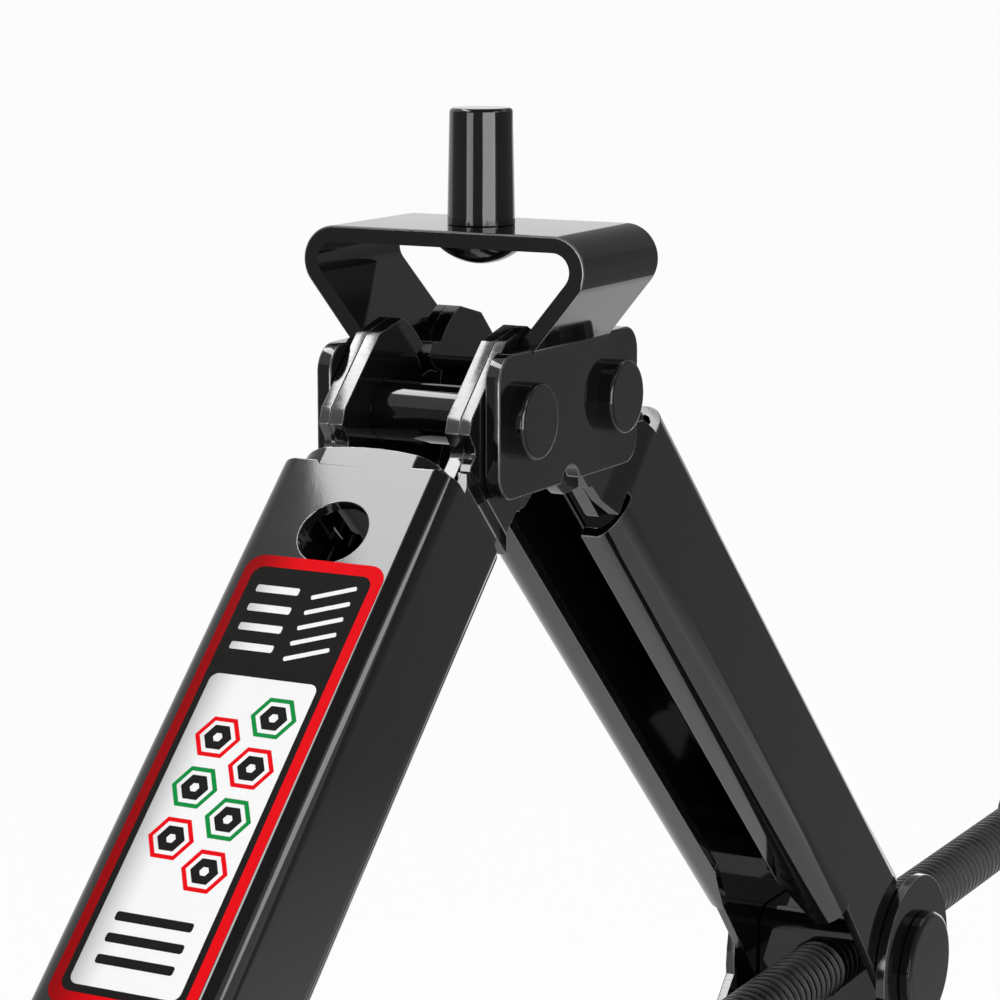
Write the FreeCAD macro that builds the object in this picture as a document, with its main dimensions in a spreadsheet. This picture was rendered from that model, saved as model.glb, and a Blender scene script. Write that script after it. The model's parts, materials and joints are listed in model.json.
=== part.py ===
# Scissor jack with four channel arms, geared pivots, a saddle with a locating pin and a lead screw.
# Millimetres. X runs along the lead screw, Y along the pivot pins, Z up; origin under the middle of the base.
import FreeCAD
import Part
import Sketcher
import math
import os

doc = FreeCAD.newDocument("scissor_jack")
Vector = FreeCAD.Vector

# Driving sizes
SIZES = [
    ("arm_length", 230.0, "pivot to trunnion axis of every arm"),
    ("arm_lean", 44.0, "arms above the horizontal, degrees, as shown"),
    ("folded_lean", 8.0, "arms above the horizontal when folded, degrees"),
    ("gear_centres", 35.5, "between the two pivot pins of a pair"),
    ("base_pivot_height", 27.0, "base pivot pins above the ground"),
    ("arm_gauge", 2.2, "sheet of the arms"),
    ("gear_plate_gauge", 2.85, "inner gear plates"),
    ("side_gap", 0.35, "side clearance between parts that turn on each other"),
    ("running_gap", 0.06, "radial clearance of pins and shafts"),
    ("pivot_radius", 5.5, "pivot pin shank"),
    ("pivot_head_radius", 7.0, "pivot pin head"),
    ("pivot_head_height", 3.05, "pivot pin head"),
    ("pivot_head_round", 0.7, "rim of the pivot pin head"),
    ("saddle_gauge", 3.0, "bent strip of the saddle"),
    ("saddle_half_span", 18.9, "outer face of the saddle cheeks"),
    ("saddle_strip_width", 30.8, "strip of the saddle along X"),
    ("saddle_cheek_width", 56.0, "cheek of the saddle along X"),
    ("saddle_cheek_drop", 13.7, "cheek below the pins"),
    ("saddle_cheek_rise", 12.6, "cheek above the pins"),
    ("saddle_cheek_round", 5.0, "corners of the cheek"),
    ("saddle_kink_height", 12.0, "cheek to leg bend above the pins"),
    ("saddle_leg_lean", 50.5, "leg above the horizontal, degrees"),
    ("saddle_top_height", 33.1, "top face above the pins"),
    ("saddle_bend_radius", 6.4, "outer bend of the top"),
    ("saddle_notch_radius", 4.0, "half-round notch under the cheeks"),
    ("saddle_notch_depth", 2.9, "half-round notch under the cheeks"),
    ("locating_pin_height", 21.5, "pin above the saddle"),
    ("locating_pin_foot_radius", 6.3, "pin at the saddle"),
    ("locating_pin_top_radius", 5.87, "pin at its top"),
    ("locating_pin_stem_radius", 5.0, "pin through the saddle"),
    ("locating_pin_chamfer", 0.5, "top rim of the pin"),
    ("locating_pin_dome_radius", 8.9, "riveted dome under the saddle"),
    ("locating_pin_dome_depth", 4.3, "riveted dome under the saddle"),
    ("upper_half_width", 17.85, "outer face of the upper arm flanges"),
    ("web_rise", 13.6, "outer face of the web from the pivot line"),
    ("flange_drop", 15.2, "outer face of the lips from the pivot line"),
    ("edge_drop", 13.6, "plain flange edge from the pivot line"),
    ("bend_radius", 4.2, "outer bend of the channels"),
    ("lip_bend_radius", 2.7, "outer bend of the lips"),
    ("lip_width", 5.6, "turned-in lips of the upper arms"),
    ("lip_head", 21.9, "start of the lips from the pivot"),
    ("relief_width", 1.6, "bend reliefs at the ends of the lips"),
    ("lip_tail", 46.0, "end of the lips before the trunnion axis"),
    ("web_head", 22.1, "start of the web tabs from the pivot"),
    ("web_recess", 22.85, "start of the web between its tabs"),
    ("web_tab_inset", 9.7, "inner side of the web tabs"),
    ("web_tail", 22.0, "end of the web before the trunnion axis"),
    ("web_hole_radius", 6.6, "hole in the web of the upper arms"),
    ("web_hole_place", 37.2, "hole in the web from the pivot"),
    ("tongue_half_width", 9.0, "flat of the arched tongue before the web"),
    ("tongue_reach", 18.4, "tip of the tongue from the pivot"),
    ("tongue_arch", 61.0, "arched tip of the tongue, radius"),
    ("tongue_step", 0.25, "tongue below the web"),
    ("tongue_bend_radius", 6.3, "outer bend of the tongue into the flanges"),
    ("joggle_start", 15.4, "inner end of the flange set"),
    ("joggle_end", 21.0, "outer end of the flange set"),
    ("joggle_radius", 4.0, "bends of the flange set"),
    ("ear_flat_rise", 11.35, "flat of the ear from the pivot line"),
    ("ear_flat_nose", 8.6, "flat of the ear past the pivot"),
    ("ear_flat_tail", 8.9, "flat of the ear towards the arm"),
    ("neck_shoulder_place", 11.6, "corner of the ear above the neck"),
    ("neck_shoulder_rise", 10.0, "corner of the ear above the neck"),
    ("neck_place", 12.0, "hollow of the neck"),
    ("neck_round", 1.6, "hollow of the neck"),
    ("neck_rise", 5.5, "floor of the neck from the pivot line"),
    ("neck_end", 16.2, "end of the floor of the neck"),
    ("shelf_place", 18.0, "flange edge under the tongue"),
    ("shelf_rise", 7.4, "flange edge under the tongue"),
    ("heel_place", 10.3, "heel under the ear"),
    ("heel_drop", 14.2, "heel under the ear"),
    ("gear_plate_tail", 15.2, "gear plate towards the arm"),
    ("gear_teeth", 10.0, "teeth on the full pitch circle"),
    ("pressure_angle", 20.0, "tooth flank, degrees"),
    ("tooth_addendum", 2.6, "tooth above the pitch circle"),
    ("tooth_tip_gap", 0.35, "tip to root clearance"),
    ("tooth_side_gap", 0.4, "flank clearance at the pitch circle"),
    ("shoulder_gap", 0.2, "shoulder of the ear inside the pitch circle"),
    ("upper_end_radius", 14.5, "round end of the upper arms"),
    ("lower_end_radius", 21.0, "round end of the lower arms"),
    ("lower_end_shift", 2.0, "round end of the lower arms towards the open side"),
    ("trunnion_half_length", 14.0, "block along the screw"),
    ("trunnion_half_height", 13.0, "block across the screw"),
    ("trunnion_round", 5.0, "corners of the block"),
    ("trunnion_stub_radius", 8.0, "pivot stubs of the block"),
    ("trunnion_cap_radius", 13.4, "riveted heads of the stubs"),
    ("trunnion_cap_height", 2.85, "riveted heads of the stubs"),
    ("trunnion_cap_round", 1.2, "rim of the riveted heads"),
    ("screw_radius", 7.0, "lead screw over the thread"),
    ("screw_collar_radius", 12.5, "thrust collar on the screw"),
    ("screw_collar_length", 6.0, "thrust collar on the screw"),
    ("screw_nose", 14.0, "plain nose of the screw past the collar"),
    ("screw_end_chamfer", 1.5, "free end of the screw"),
    ("screw_end_spare", 3.0, "screw past the end stop"),
    ("thrust_washer_radius", 13.5, "washers of the thrust bearing"),
    ("thrust_washer_gauge", 2.0, "washers of the thrust bearing"),
    ("ball_radius", 2.4, "balls of the thrust bearing"),
    ("ball_circle", 10.4, "balls of the thrust bearing"),
    ("ball_count", 10.0, "balls of the thrust bearing"),
    ("cage_gauge", 1.6, "ball cage"),
    ("cage_half_width", 2.8, "ball cage each side of the ball circle"),
    ("retainer_radius", 11.0, "retaining collar"),
    ("retainer_length", 8.0, "retaining collar"),
    ("stop_radius", 10.0, "end stop of the screw"),
    ("stop_length", 8.0, "end stop of the screw"),
    ("stop_room", 2.0, "room before the end stop when folded"),
    ("cross_pin_radius", 2.0, "spring pins through screw, collars and eye"),
    ("cross_pin_inset", 0.24, "ends of the spring pins below the rims"),
    ("eye_shank_radius", 9.8, "shank of the drive eye"),
    ("eye_shank_length", 17.0, "shank of the drive eye"),
    ("eye_ring_radius", 13.0, "ring of the drive eye"),
    ("eye_ring_width", 11.0, "ring of the drive eye"),
    ("eye_bore_radius", 6.5, "hole of the drive eye"),
    ("eye_reach", 10.0, "ring centre past the shank"),
    ("base_gauge", 3.0, "pressed base"),
    ("base_half_length", 64.0, "base along X"),
    ("base_half_width", 37.0, "feet of the base along Y"),
    ("base_foot_inset", 40.0, "start of the feet from the middle"),
    ("base_corner", 9.0, "corners of the base"),
    ("base_cheek_foot", 34.0, "cheek of the base at its foot, half"),
    ("base_cheek_top", 28.0, "cheek of the base at its top, half"),
    ("base_cheek_rise", 13.5, "cheek of the base above the pins"),
    ("base_cheek_round", 7.0, "top corners of the base cheek"),
    ("base_bend_radius", 4.5, "outer bend of the base"),
]

sheet = doc.addObject("Spreadsheet::Sheet", "Dims")
for row, (name, value, note) in enumerate(SIZES, 1):
    sheet.set("A%d" % row, note)
    sheet.set("B%d" % row, str(value))
    sheet.setAlias("B%d" % row, name)
doc.recompute()


# A size keeps its number and the formula that drives it
class Size:
    def __init__(self, value, text):
        self.value = value
        self.text = text

    def __add__(self, other):
        other = size(other)
        return Size(self.value + other.value, "(%s + %s)" % (self.text, other.text))

    def __sub__(self, other):
        other = size(other)
        return Size(self.value - other.value, "(%s - %s)" % (self.text, other.text))

    def __mul__(self, other):
        other = size(other)
        return Size(self.value * other.value, "(%s * %s)" % (self.text, other.text))

    def __truediv__(self, other):
        other = size(other)
        return Size(self.value / other.value, "(%s / %s)" % (self.text, other.text))

    def __neg__(self):
        return Size(-self.value, "(-1 * %s)" % self.text)


def size(item):
    if isinstance(item, Size):
        return item
    return Size(float(item), "%.9f" % item)


def dim(name):
    return Size(float(sheet.get(name)), "Dims." + name)


def cosine(angle):
    return Size(math.cos(math.radians(angle.value)), "cos(%s)" % angle.text)


def sine(angle):
    return Size(math.sin(math.radians(angle.value)), "sin(%s)" % angle.text)


def tangent(angle):
    return Size(math.tan(math.radians(angle.value)), "tan(%s)" % angle.text)


ZERO = size(0.0)
RIGHT_ANGLE = size(90.0)


# Bodies, sketches and features
def new_body(name, place=None, turn=(0, None, 0)):
    body = doc.addObject("PartDesign::Body", name)
    body.Label = name
    body.AllowCompound = True
    if place is not None:
        pitch = turn[1].text if turn[1] is not None else "0"
        where = "; ".join(size(part).text for part in place)
        body.setExpression("Placement", "placement(vector(%s); rotation(%d; %s; %d))"
                           % (where, turn[0], pitch, turn[2]))
    return body


def new_sketch(body, plane, shift=None):
    sketch = body.newObject("Sketcher::SketchObject", body.Name + "_sketch")
    origin = {part.Role: part for part in body.Origin.OriginFeatures}
    sketch.AttachmentSupport = [(origin[plane], "")]
    sketch.MapMode = "FlatFace"
    for axis, amount in (shift or {}).items():
        sketch.setExpression("AttachmentOffset.Base." + axis, amount.text)
    return sketch


def locate(sketch, geometry, point, x, y, rules):
    for kind, amount, axis in (("DistanceX", x, -2), ("DistanceY", y, -1)):
        if abs(amount.value) < 1e-9:
            rules.append((Sketcher.Constraint("PointOnObject", geometry, point, axis), None))
        elif amount.value > 0:
            rules.append((Sketcher.Constraint(kind, -1, 1, geometry, point, amount.value), amount))
        else:
            rules.append((Sketcher.Constraint(kind, geometry, point, -1, 1, -amount.value), -amount))


def apply_rules(sketch, rules):
    first = sketch.ConstraintCount
    sketch.addConstraint([rule for rule, amount in rules])
    for index, (rule, amount) in enumerate(rules):
        if amount is not None:
            sketch.setExpression("Constraints[%d]" % (first + index), amount.text)


# A closed outline; arcs maps the index of its first point to (centre, radius, anticlockwise)
def outline(sketch, points, arcs=None):
    arcs = arcs or {}
    start = sketch.GeometryCount
    shapes = []
    ends = []
    count = len(points)
    for index in range(count):
        here = Vector(points[index][0].value, points[index][1].value, 0)
        there = points[(index + 1) % count]
        there = Vector(there[0].value, there[1].value, 0)
        if index in arcs:
            (cx, cy), radius, anticlockwise = arcs[index]
            centre = Vector(cx.value, cy.value, 0)
            first = math.atan2(here.y - centre.y, here.x - centre.x)
            last = math.atan2(there.y - centre.y, there.x - centre.x)
            if not anticlockwise:
                first, last = last, first
            if last < first:
                last += 2 * math.pi
            circle = Part.Circle(centre, Vector(0, 0, 1), radius.value)
            shapes.append(Part.ArcOfCircle(circle, first, last))
            ends.append((1, 2) if anticlockwise else (2, 1))
        else:
            shapes.append(Part.LineSegment(here, there))
            ends.append((1, 2))
    sketch.addGeometry(shapes, False)
    rules = []
    for index in range(count):
        following = (index + 1) % count
        rules.append((Sketcher.Constraint("Coincident", start + index, ends[index][1],
                                          start + following, ends[following][0]), None))
    for index in range(count):
        locate(sketch, start + index, ends[index][0], points[index][0], points[index][1], rules)
        if index in arcs:
            radius = arcs[index][1]
            rules.append((Sketcher.Constraint("Radius", start + index, radius.value), radius))
    apply_rules(sketch, rules)


def circle(sketch, x, y, radius):
    start = sketch.GeometryCount
    sketch.addGeometry(Part.Circle(Vector(x.value, y.value, 0), Vector(0, 0, 1), radius.value), False)
    rules = []
    locate(sketch, start, 3, x, y, rules)
    rules.append((Sketcher.Constraint("Radius", start, radius.value), radius))
    apply_rules(sketch, rules)


def rectangle(sketch, left, bottom, right, top):
    outline(sketch, [(left, bottom), (right, bottom), (right, top), (left, top)])


def pad(body, sketch, length, symmetric=False):
    feature = body.newObject("PartDesign::Pad", body.Name + "_pad")
    feature.Profile = sketch
    feature.SideType = "Symmetric" if symmetric else "One side"
    feature.Length = length.value
    feature.setExpression("Length", length.text)
    body.Tip = feature
    return feature


def cut(body, sketch, length=None, symmetric=True):
    feature = body.newObject("PartDesign::Pocket", body.Name + "_cut")
    feature.Profile = sketch
    feature.SideType = "Symmetric" if symmetric else "One side"
    if length is None:
        feature.Type = "ThroughAll"
    else:
        feature.Length = length.value
        feature.setExpression("Length", length.text)
    body.Tip = feature
    return feature


def turned(body, sketch, axis):
    feature = body.newObject("PartDesign::Revolution", body.Name + "_turned")
    feature.Profile = sketch
    feature.ReferenceAxis = (sketch, [axis])
    feature.Angle = 360.0
    body.Tip = feature
    return feature


def around(body, feature, sketch, count, angle):
    pattern = body.newObject("PartDesign::PolarPattern", body.Name + "_around")
    pattern.Originals = [feature]
    pattern.Axis = (sketch, ["N_Axis"])
    pattern.Occurrences = count
    pattern.Angle = angle
    body.Tip = pattern
    return pattern


def mirrored(body, features, plane):
    mirror = body.newObject("PartDesign::Mirrored", body.Name + "_mirror")
    origin = {part.Role: part for part in body.Origin.OriginFeatures}
    mirror.Originals = features
    mirror.MirrorPlane = (origin[plane], [""])
    body.Tip = mirror
    return mirror


# Rounds the edges of the last feature that the test picks by their middle point and direction
def rounded(body, radius, test, bevel=False):
    doc.recompute()
    base = body.Tip
    names = []
    for index, edge in enumerate(base.Shape.Edges, 1):
        middle = edge.valueAt((edge.FirstParameter + edge.LastParameter) / 2)
        if test(edge, middle):
            names.append("Edge%d" % index)
    if not names:
        raise ValueError("no edge to round on " + body.Name)
    kind = "PartDesign::Chamfer" if bevel else "PartDesign::Fillet"
    feature = body.newObject(kind, body.Name + "_round")
    feature.Base = (base, names)
    if bevel:
        feature.Size = radius.value
        feature.setExpression("Size", radius.text)
    else:
        feature.Radius = radius.value
        feature.setExpression("Radius", radius.text)
    body.Tip = feature
    return feature


def straight(edge, axis):
    if not isinstance(edge.Curve, Part.Line):
        return False
    return abs(getattr(edge.Curve.Direction, axis)) > 0.999


def close(a, b):
    return abs(a - size(b).value) < 0.02


# Shared places
gauge = dim("arm_gauge")
side_gap = dim("side_gap")
running = dim("running_gap")
half_centres = dim("gear_centres") / 2
lean = dim("arm_lean")
arm = dim("arm_length")
base_z = dim("base_pivot_height")
trunnion_z = base_z + arm * sine(lean)
saddle_z = base_z + arm * sine(lean) * 2
trunnion_x = half_centres + arm * cosine(lean)

saddle_inner = dim("saddle_half_span") - dim("saddle_gauge")
ear_outer = saddle_inner - side_gap
ear_inner = ear_outer - gauge
upper_outer = dim("upper_half_width")
upper_inner = upper_outer - gauge
lower_inner = upper_outer + side_gap
lower_outer = lower_inner + gauge
base_inner = lower_outer + side_gap
base_outer = base_inner + dim("base_gauge")
block_half = upper_inner - side_gap
stub_end = lower_outer + side_gap
pivot_hole = dim("pivot_radius") + running
stub_hole = dim("trunnion_stub_radius") + running
screw_hole = dim("screw_radius") + running

# Gear ears: involute teeth on the pitch circle of each pivot
pitch_radius = half_centres
tip_radius = pitch_radius + dim("tooth_addendum")
root_radius = dim("gear_centres") - tip_radius - dim("tooth_tip_gap")
shoulder_radius = pitch_radius - dim("shoulder_gap")
teeth = int(dim("gear_teeth").value)
tooth_pitch = 360.0 / teeth
base_radius = pitch_radius * cosine(dim("pressure_angle"))
MESH_LOW = 197.0
HEEL_ANGLE = 286.0
NOSE_ANGLE = 156.5


def involute(radius):
    if radius <= base_radius.value:
        return 0.0
    angle = math.acos(base_radius.value / radius)
    return math.degrees(math.tan(angle) - angle)


# Half the angle that a tooth covers at a radius
def tooth_half(radius):
    slack = math.degrees(dim("tooth_side_gap").value / 2 / pitch_radius.value)
    return tooth_pitch / 4 - slack + involute(pitch_radius.value) - involute(radius)


def polar(radius, angle):
    turn = math.radians(angle)
    return (radius * math.cos(turn), radius * math.sin(turn))


# Ear from the neck round the flat, the shoulder and the tooth tips to the heel
def ear_points(tooth_first):
    step = MESH_LOW
    rise = MESH_LOW
    if tooth_first:
        step = MESH_LOW - tooth_half(shoulder_radius.value)
        rise = MESH_LOW - tooth_half(tip_radius.value)
    points = [
        (dim("ear_flat_tail"), dim("ear_flat_rise")),
        (-dim("ear_flat_nose"), dim("ear_flat_rise")),
        polar(shoulder_radius, NOSE_ANGLE),
        polar(shoulder_radius, step),
        polar(tip_radius, rise),
        polar(tip_radius, HEEL_ANGLE),
        (dim("heel_place"), -dim("heel_drop")),
    ]
    arcs = {
        2: ((ZERO, ZERO), shoulder_radius, True),
        4: ((ZERO, ZERO), tip_radius, True),
    }
    return points, arcs


# Edge of the neck from the web side to the ear, with its rounded hollow
def neck_points():
    low = dim("neck_rise")
    hollow = dim("neck_round")
    place = dim("neck_place")
    points = [
        (dim("neck_end"), low),
        (place + hollow, low),
        (place, low + hollow),
        (dim("neck_shoulder_place"), dim("neck_shoulder_rise")),
    ]
    return points, {1: ((place + hollow, low + hollow), hollow, False)}


# Two spaces between teeth, cut through both sides of an ear
def cut_teeth(body, tooth_first):
    middle = MESH_LOW + (tooth_pitch / 2 if tooth_first else 0.0)
    beyond = tip_radius + dim("tooth_addendum")
    flank = [root_radius, base_radius, pitch_radius, pitch_radius + dim("tooth_addendum") / 2, tip_radius]
    halves = [tooth_pitch / 2 - tooth_half(radius.value) for radius in flank]
    flank.append(beyond)
    halves.append(halves[-1] + (halves[-1] - halves[-2]) * 1.5)
    near = [polar(radius, middle - half) for radius, half in zip(flank, halves)]
    far = [polar(radius, middle + half) for radius, half in zip(flank, halves)]
    points = near[::-1] + far
    arcs = {len(near) - 1: ((ZERO, ZERO), root_radius, True)}
    sketch = new_sketch(body, "XZ_Plane")
    outline(sketch, points, arcs)
    space = cut(body, sketch)
    around(body, space, sketch, 2, tooth_pitch)


# One channel arm in its own frame: X from the geared pivot to the trunnion, Z to the web
def make_arm(name, upper, tooth_first, place, turn):
    body = new_body(name, place, turn)
    outer = upper_outer if upper else lower_outer
    inner = outer - gauge
    rise = dim("web_rise")
    tail = dim("upper_end_radius") if upper else dim("lower_end_radius")
    drop = dim("flange_drop") if upper else dim("edge_drop") + tail
    corner = rise - dim("bend_radius") - gauge / 4
    near = -(tip_radius + gauge)
    far = arm + dim("lower_end_radius") + gauge
    # flanges, set inwards at the ears of the upper arms
    sketch = new_sketch(body, "XY_Plane", {"z": -drop})
    for side in (1.0, -1.0):
        if upper:
            run = [(near, ear_outer), (dim("joggle_start"), ear_outer), (dim("joggle_end"), outer),
                   (far, outer), (far, inner), (dim("joggle_end"), inner),
                   (dim("joggle_start"), ear_inner), (near, ear_inner)]
        else:
            run = [(near, outer), (far, outer), (far, inner), (near, inner)]
        outline(sketch, [(x, y * side) for x, y in run])
    pad(body, sketch, drop + rise + tail)
    if upper:
        bends = (dim("joggle_start").value, dim("joggle_end").value)
        rounded(body, dim("joggle_radius"), lambda edge, at: straight(edge, "z")
                and any(close(at.x, bend) for bend in bends))
    # side outline
    points, arcs = ear_points(tooth_first)
    if upper:
        centre = (arm, ZERO)
        lip_start = dim("lip_head")
        lip_end = arm - dim("lip_tail")
        notch = dim("relief_width")
        relief = -drop + dim("lip_bend_radius") + gauge / 4
        under = [(lip_start - notch, -dim("edge_drop")),
                 (lip_start - notch, relief), (lip_start, relief), (lip_start, -drop),
                 (lip_end, -drop), (lip_end, relief), (lip_end + notch, relief),
                 (lip_end + notch, -dim("edge_drop"))]
        first, last = 245.0, 115.0
    else:
        centre = (arm, -dim("lower_end_shift"))
        under = [(arm - dim("lip_tail"), -dim("edge_drop"))]
        first, last = 215.0, 52.0
    start = polar(tail, first)
    end = polar(tail, last)
    points = points + under + [
        (centre[0] + start[0], centre[1] + start[1]),
        (centre[0] + end[0], centre[1] + end[1]),
        (arm - dim("web_tail"), corner),
        (arm - dim("web_tail"), rise),
        (dim("web_head"), rise),
        (dim("web_head"), dim("shelf_rise")),
        (dim("shelf_place"), dim("shelf_rise")),
    ]
    arcs[7 + len(under)] = (centre, tail, True)
    neck, hollow = neck_points()
    arcs.update({len(points) + index: arc for index, arc in hollow.items()})
    points = points + neck
    sketch = new_sketch(body, "XZ_Plane")
    margin = gauge * 4
    rectangle(sketch, near - margin, -drop - margin, far + margin, rise + tail + margin)
    outline(sketch, points, arcs)
    cut(body, sketch)
    # web and lips, rounded as bends
    sketch = new_sketch(body, "XY_Plane", {"z": rise - gauge})
    head = dim("web_head")
    recess = dim("web_recess")
    tab = dim("web_tab_inset")
    outline(sketch, [(head, -outer), (arm - dim("web_tail"), -outer), (arm - dim("web_tail"), outer),
                     (head, outer), (head, tab), (recess, tab - (recess - head)),
                     (recess, recess - head - tab), (head, -tab)])
    pad(body, sketch, gauge)
    if upper:
        sketch = new_sketch(body, "XY_Plane", {"z": -drop})
        for side in (1.0, -1.0):
            rectangle(sketch, dim("lip_head"), outer * side, arm - dim("lip_tail"),
                      (outer - dim("lip_width")) * side)
        pad(body, sketch, gauge)
    levels = [(rise, rise - gauge, dim("bend_radius"))]
    if upper:
        levels.append((-drop, gauge - drop, dim("lip_bend_radius")))
    for outside, inside, bend in levels:
        rounded(body, bend, lambda edge, at: straight(edge, "x")
                and close(abs(at.y), outer) and close(at.z, outside))
        rounded(body, bend - gauge, lambda edge, at: straight(edge, "x")
                and close(abs(at.y), inner) and close(at.z, inside) and at.x < arm.value - 20)
    if upper:
        # arched tongue before the web, bent down into the flanges
        flat = dim("tongue_half_width")
        bend = dim("tongue_bend_radius")
        crest = rise - dim("tongue_step")
        hub = crest - bend
        sketch = new_sketch(body, "YZ_Plane", {"z": dim("neck_end")})
        outline(sketch, [(flat + bend, hub), (flat, crest), (-flat, crest), (-flat - bend, hub),
                         (gauge - flat - bend, hub), (-flat, crest - gauge), (flat, crest - gauge),
                         (flat + bend - gauge, hub)],
                {0: ((flat, hub), bend, True), 2: ((-flat, hub), bend, True),
                 4: ((-flat, hub), bend - gauge, False), 6: ((flat, hub), bend - gauge, False)})
        pad(body, sketch, recess + gauge - dim("neck_end"))
        tip = dim("tongue_reach")
        arch = dim("tongue_arch")
        half = flat + bend
        sag = half * half / (arch * 2)
        sketch = new_sketch(body, "XY_Plane", {"z": rise})
        outline(sketch, [(dim("neck_end") - gauge, -half), (tip + sag, -half), (tip + sag, half),
                         (dim("neck_end") - gauge, half)],
                {1: ((tip + arch, ZERO), arch, False)})
        cut(body, sketch, (rise - hub + gauge / 8) * 2)
        sketch = new_sketch(body, "XY_Plane", {"z": rise})
        circle(sketch, dim("web_hole_place"), ZERO, dim("web_hole_radius"))
        cut(body, sketch, gauge * 2)
    # pivot holes, then the teeth
    sketch = new_sketch(body, "XZ_Plane")
    circle(sketch, ZERO, ZERO, pivot_hole)
    circle(sketch, arm, ZERO, stub_hole)
    cut(body, sketch)
    cut_teeth(body, tooth_first)
    return body


# The pair of inner gear plates that double the ears of one arm
def make_gear_plates(name, upper, tooth_first, place, turn):
    body = new_body(name, place, turn)
    outside = ear_inner if upper else lower_inner
    points, arcs = ear_points(tooth_first)
    neck, hollow = neck_points()
    points.append((dim("gear_plate_tail"), -dim("heel_drop")))
    arcs.update({len(points) + index: arc for index, arc in hollow.items()})
    points = points + neck
    sketch = new_sketch(body, "XZ_Plane")
    outline(sketch, points, arcs)
    circle(sketch, ZERO, ZERO, pivot_hole)
    pad(body, sketch, outside * 2, True)
    sketch = new_sketch(body, "XZ_Plane")
    reach = tip_radius + gauge
    rectangle(sketch, -reach, -reach, reach, reach)
    cut(body, sketch, (outside - dim("gear_plate_gauge")) * 2)
    cut_teeth(body, tooth_first)
    return body


PLACES = [
    ("upper", "left", True, False, (-half_centres, ZERO, saddle_z), (180, lean, 0)),
    ("upper", "right", True, True, (half_centres, ZERO, saddle_z), (0, lean, 0)),
    ("lower", "left", False, False, (-half_centres, ZERO, base_z), (180, -lean, 180)),
    ("lower", "right", False, True, (half_centres, ZERO, base_z), (0, -lean, 180)),
]
pieces = []
for level, side, upper, tooth_first, place, turn in PLACES:
    pieces.append(make_arm("%s_arm_%s" % (level, side), upper, tooth_first, place, turn))
    pieces.append(make_gear_plates("%s_gear_plates_%s" % (level, side), upper, tooth_first, place, turn))

# Saddle: one bent strip with wider cheeks
saddle = new_body("saddle_bracket", (ZERO, ZERO, saddle_z))
strip = dim("saddle_gauge")
span = dim("saddle_half_span")
kink = dim("saddle_kink_height")
leg = dim("saddle_leg_lean")
top = dim("saddle_top_height")
apex = span + (top - kink) / tangent(leg)
apex_inner = apex - strip / tangent(leg / 2)
kink_inner = kink + strip * tangent((RIGHT_ANGLE - leg) / 2)
foot = -dim("saddle_cheek_drop")
half_outline = [(span, foot), (span, kink), (apex, top)]
half_inline = [(span - strip, foot), (span - strip, kink_inner), (apex_inner, top - strip)]
points = half_outline + [(-y, z) for y, z in half_outline[::-1]]
points += [(-y, z) for y, z in half_inline] + half_inline[::-1]
sketch = new_sketch(saddle, "YZ_Plane")
outline(sketch, points)
pad(saddle, sketch, dim("saddle_strip_width"), True)
rounded(saddle, dim("saddle_bend_radius"), lambda edge, at: straight(edge, "x")
        and close(at.z, top) and close(abs(at.y), apex))
rounded(saddle, dim("saddle_bend_radius") - strip, lambda edge, at: straight(edge, "x")
        and close(at.z, top - strip) and close(abs(at.y), apex_inner))
rounded(saddle, strip * 0.7, lambda edge, at: straight(edge, "x") and close(at.z, kink))
rounded(saddle, strip * 1.4, lambda edge, at: straight(edge, "x") and close(at.z, kink_inner))
sketch = new_sketch(saddle, "XZ_Plane")
wide = dim("saddle_cheek_width") / 2
rectangle(sketch, -wide, foot, wide, dim("saddle_cheek_rise"))
pad(saddle, sketch, span * 2, True)
sketch = new_sketch(saddle, "XZ_Plane")
reach = wide + strip
rectangle(sketch, -reach, foot - strip, reach, dim("saddle_cheek_rise") + strip)
cut(saddle, sketch, (span - strip) * 2)
rounded(saddle, dim("saddle_cheek_round"), lambda edge, at: straight(edge, "y")
        and close(abs(at.x), wide))
sketch = new_sketch(saddle, "XZ_Plane")
circle(sketch, -half_centres, ZERO, pivot_hole)
circle(sketch, half_centres, ZERO, pivot_hole)
circle(sketch, ZERO, foot + dim("saddle_notch_depth") - dim("saddle_notch_radius"),
       dim("saddle_notch_radius"))
cut(saddle, sketch)
sketch = new_sketch(saddle, "XY_Plane", {"z": top})
circle(sketch, ZERO, ZERO, dim("locating_pin_stem_radius") + running)
cut(saddle, sketch, strip * 2.5)
pieces.append(saddle)

# Locating pin: tapered post, stem through the strip and riveted dome
pin = new_body("locating_pin", (ZERO, ZERO, saddle_z))
dome = dim("locating_pin_dome_radius")
depth = dim("locating_pin_dome_depth")
dome_sphere = (dome * dome + depth * depth) / (depth * 2)
crown = top + dim("locating_pin_height")
bevel = dim("locating_pin_chamfer")
sketch = new_sketch(pin, "XZ_Plane")
outline(sketch, [(ZERO, top - strip - depth), (dome, top - strip),
                 (dim("locating_pin_stem_radius"), top - strip), (dim("locating_pin_stem_radius"), top),
                 (dim("locating_pin_foot_radius"), top),
                 (dim("locating_pin_top_radius"), crown - bevel),
                 (dim("locating_pin_top_radius") - bevel, crown), (ZERO, crown)],
        {0: ((ZERO, top - strip - depth + dome_sphere), dome_sphere, True)})
turned(pin, sketch, "V_Axis")
pieces.append(pin)


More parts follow.
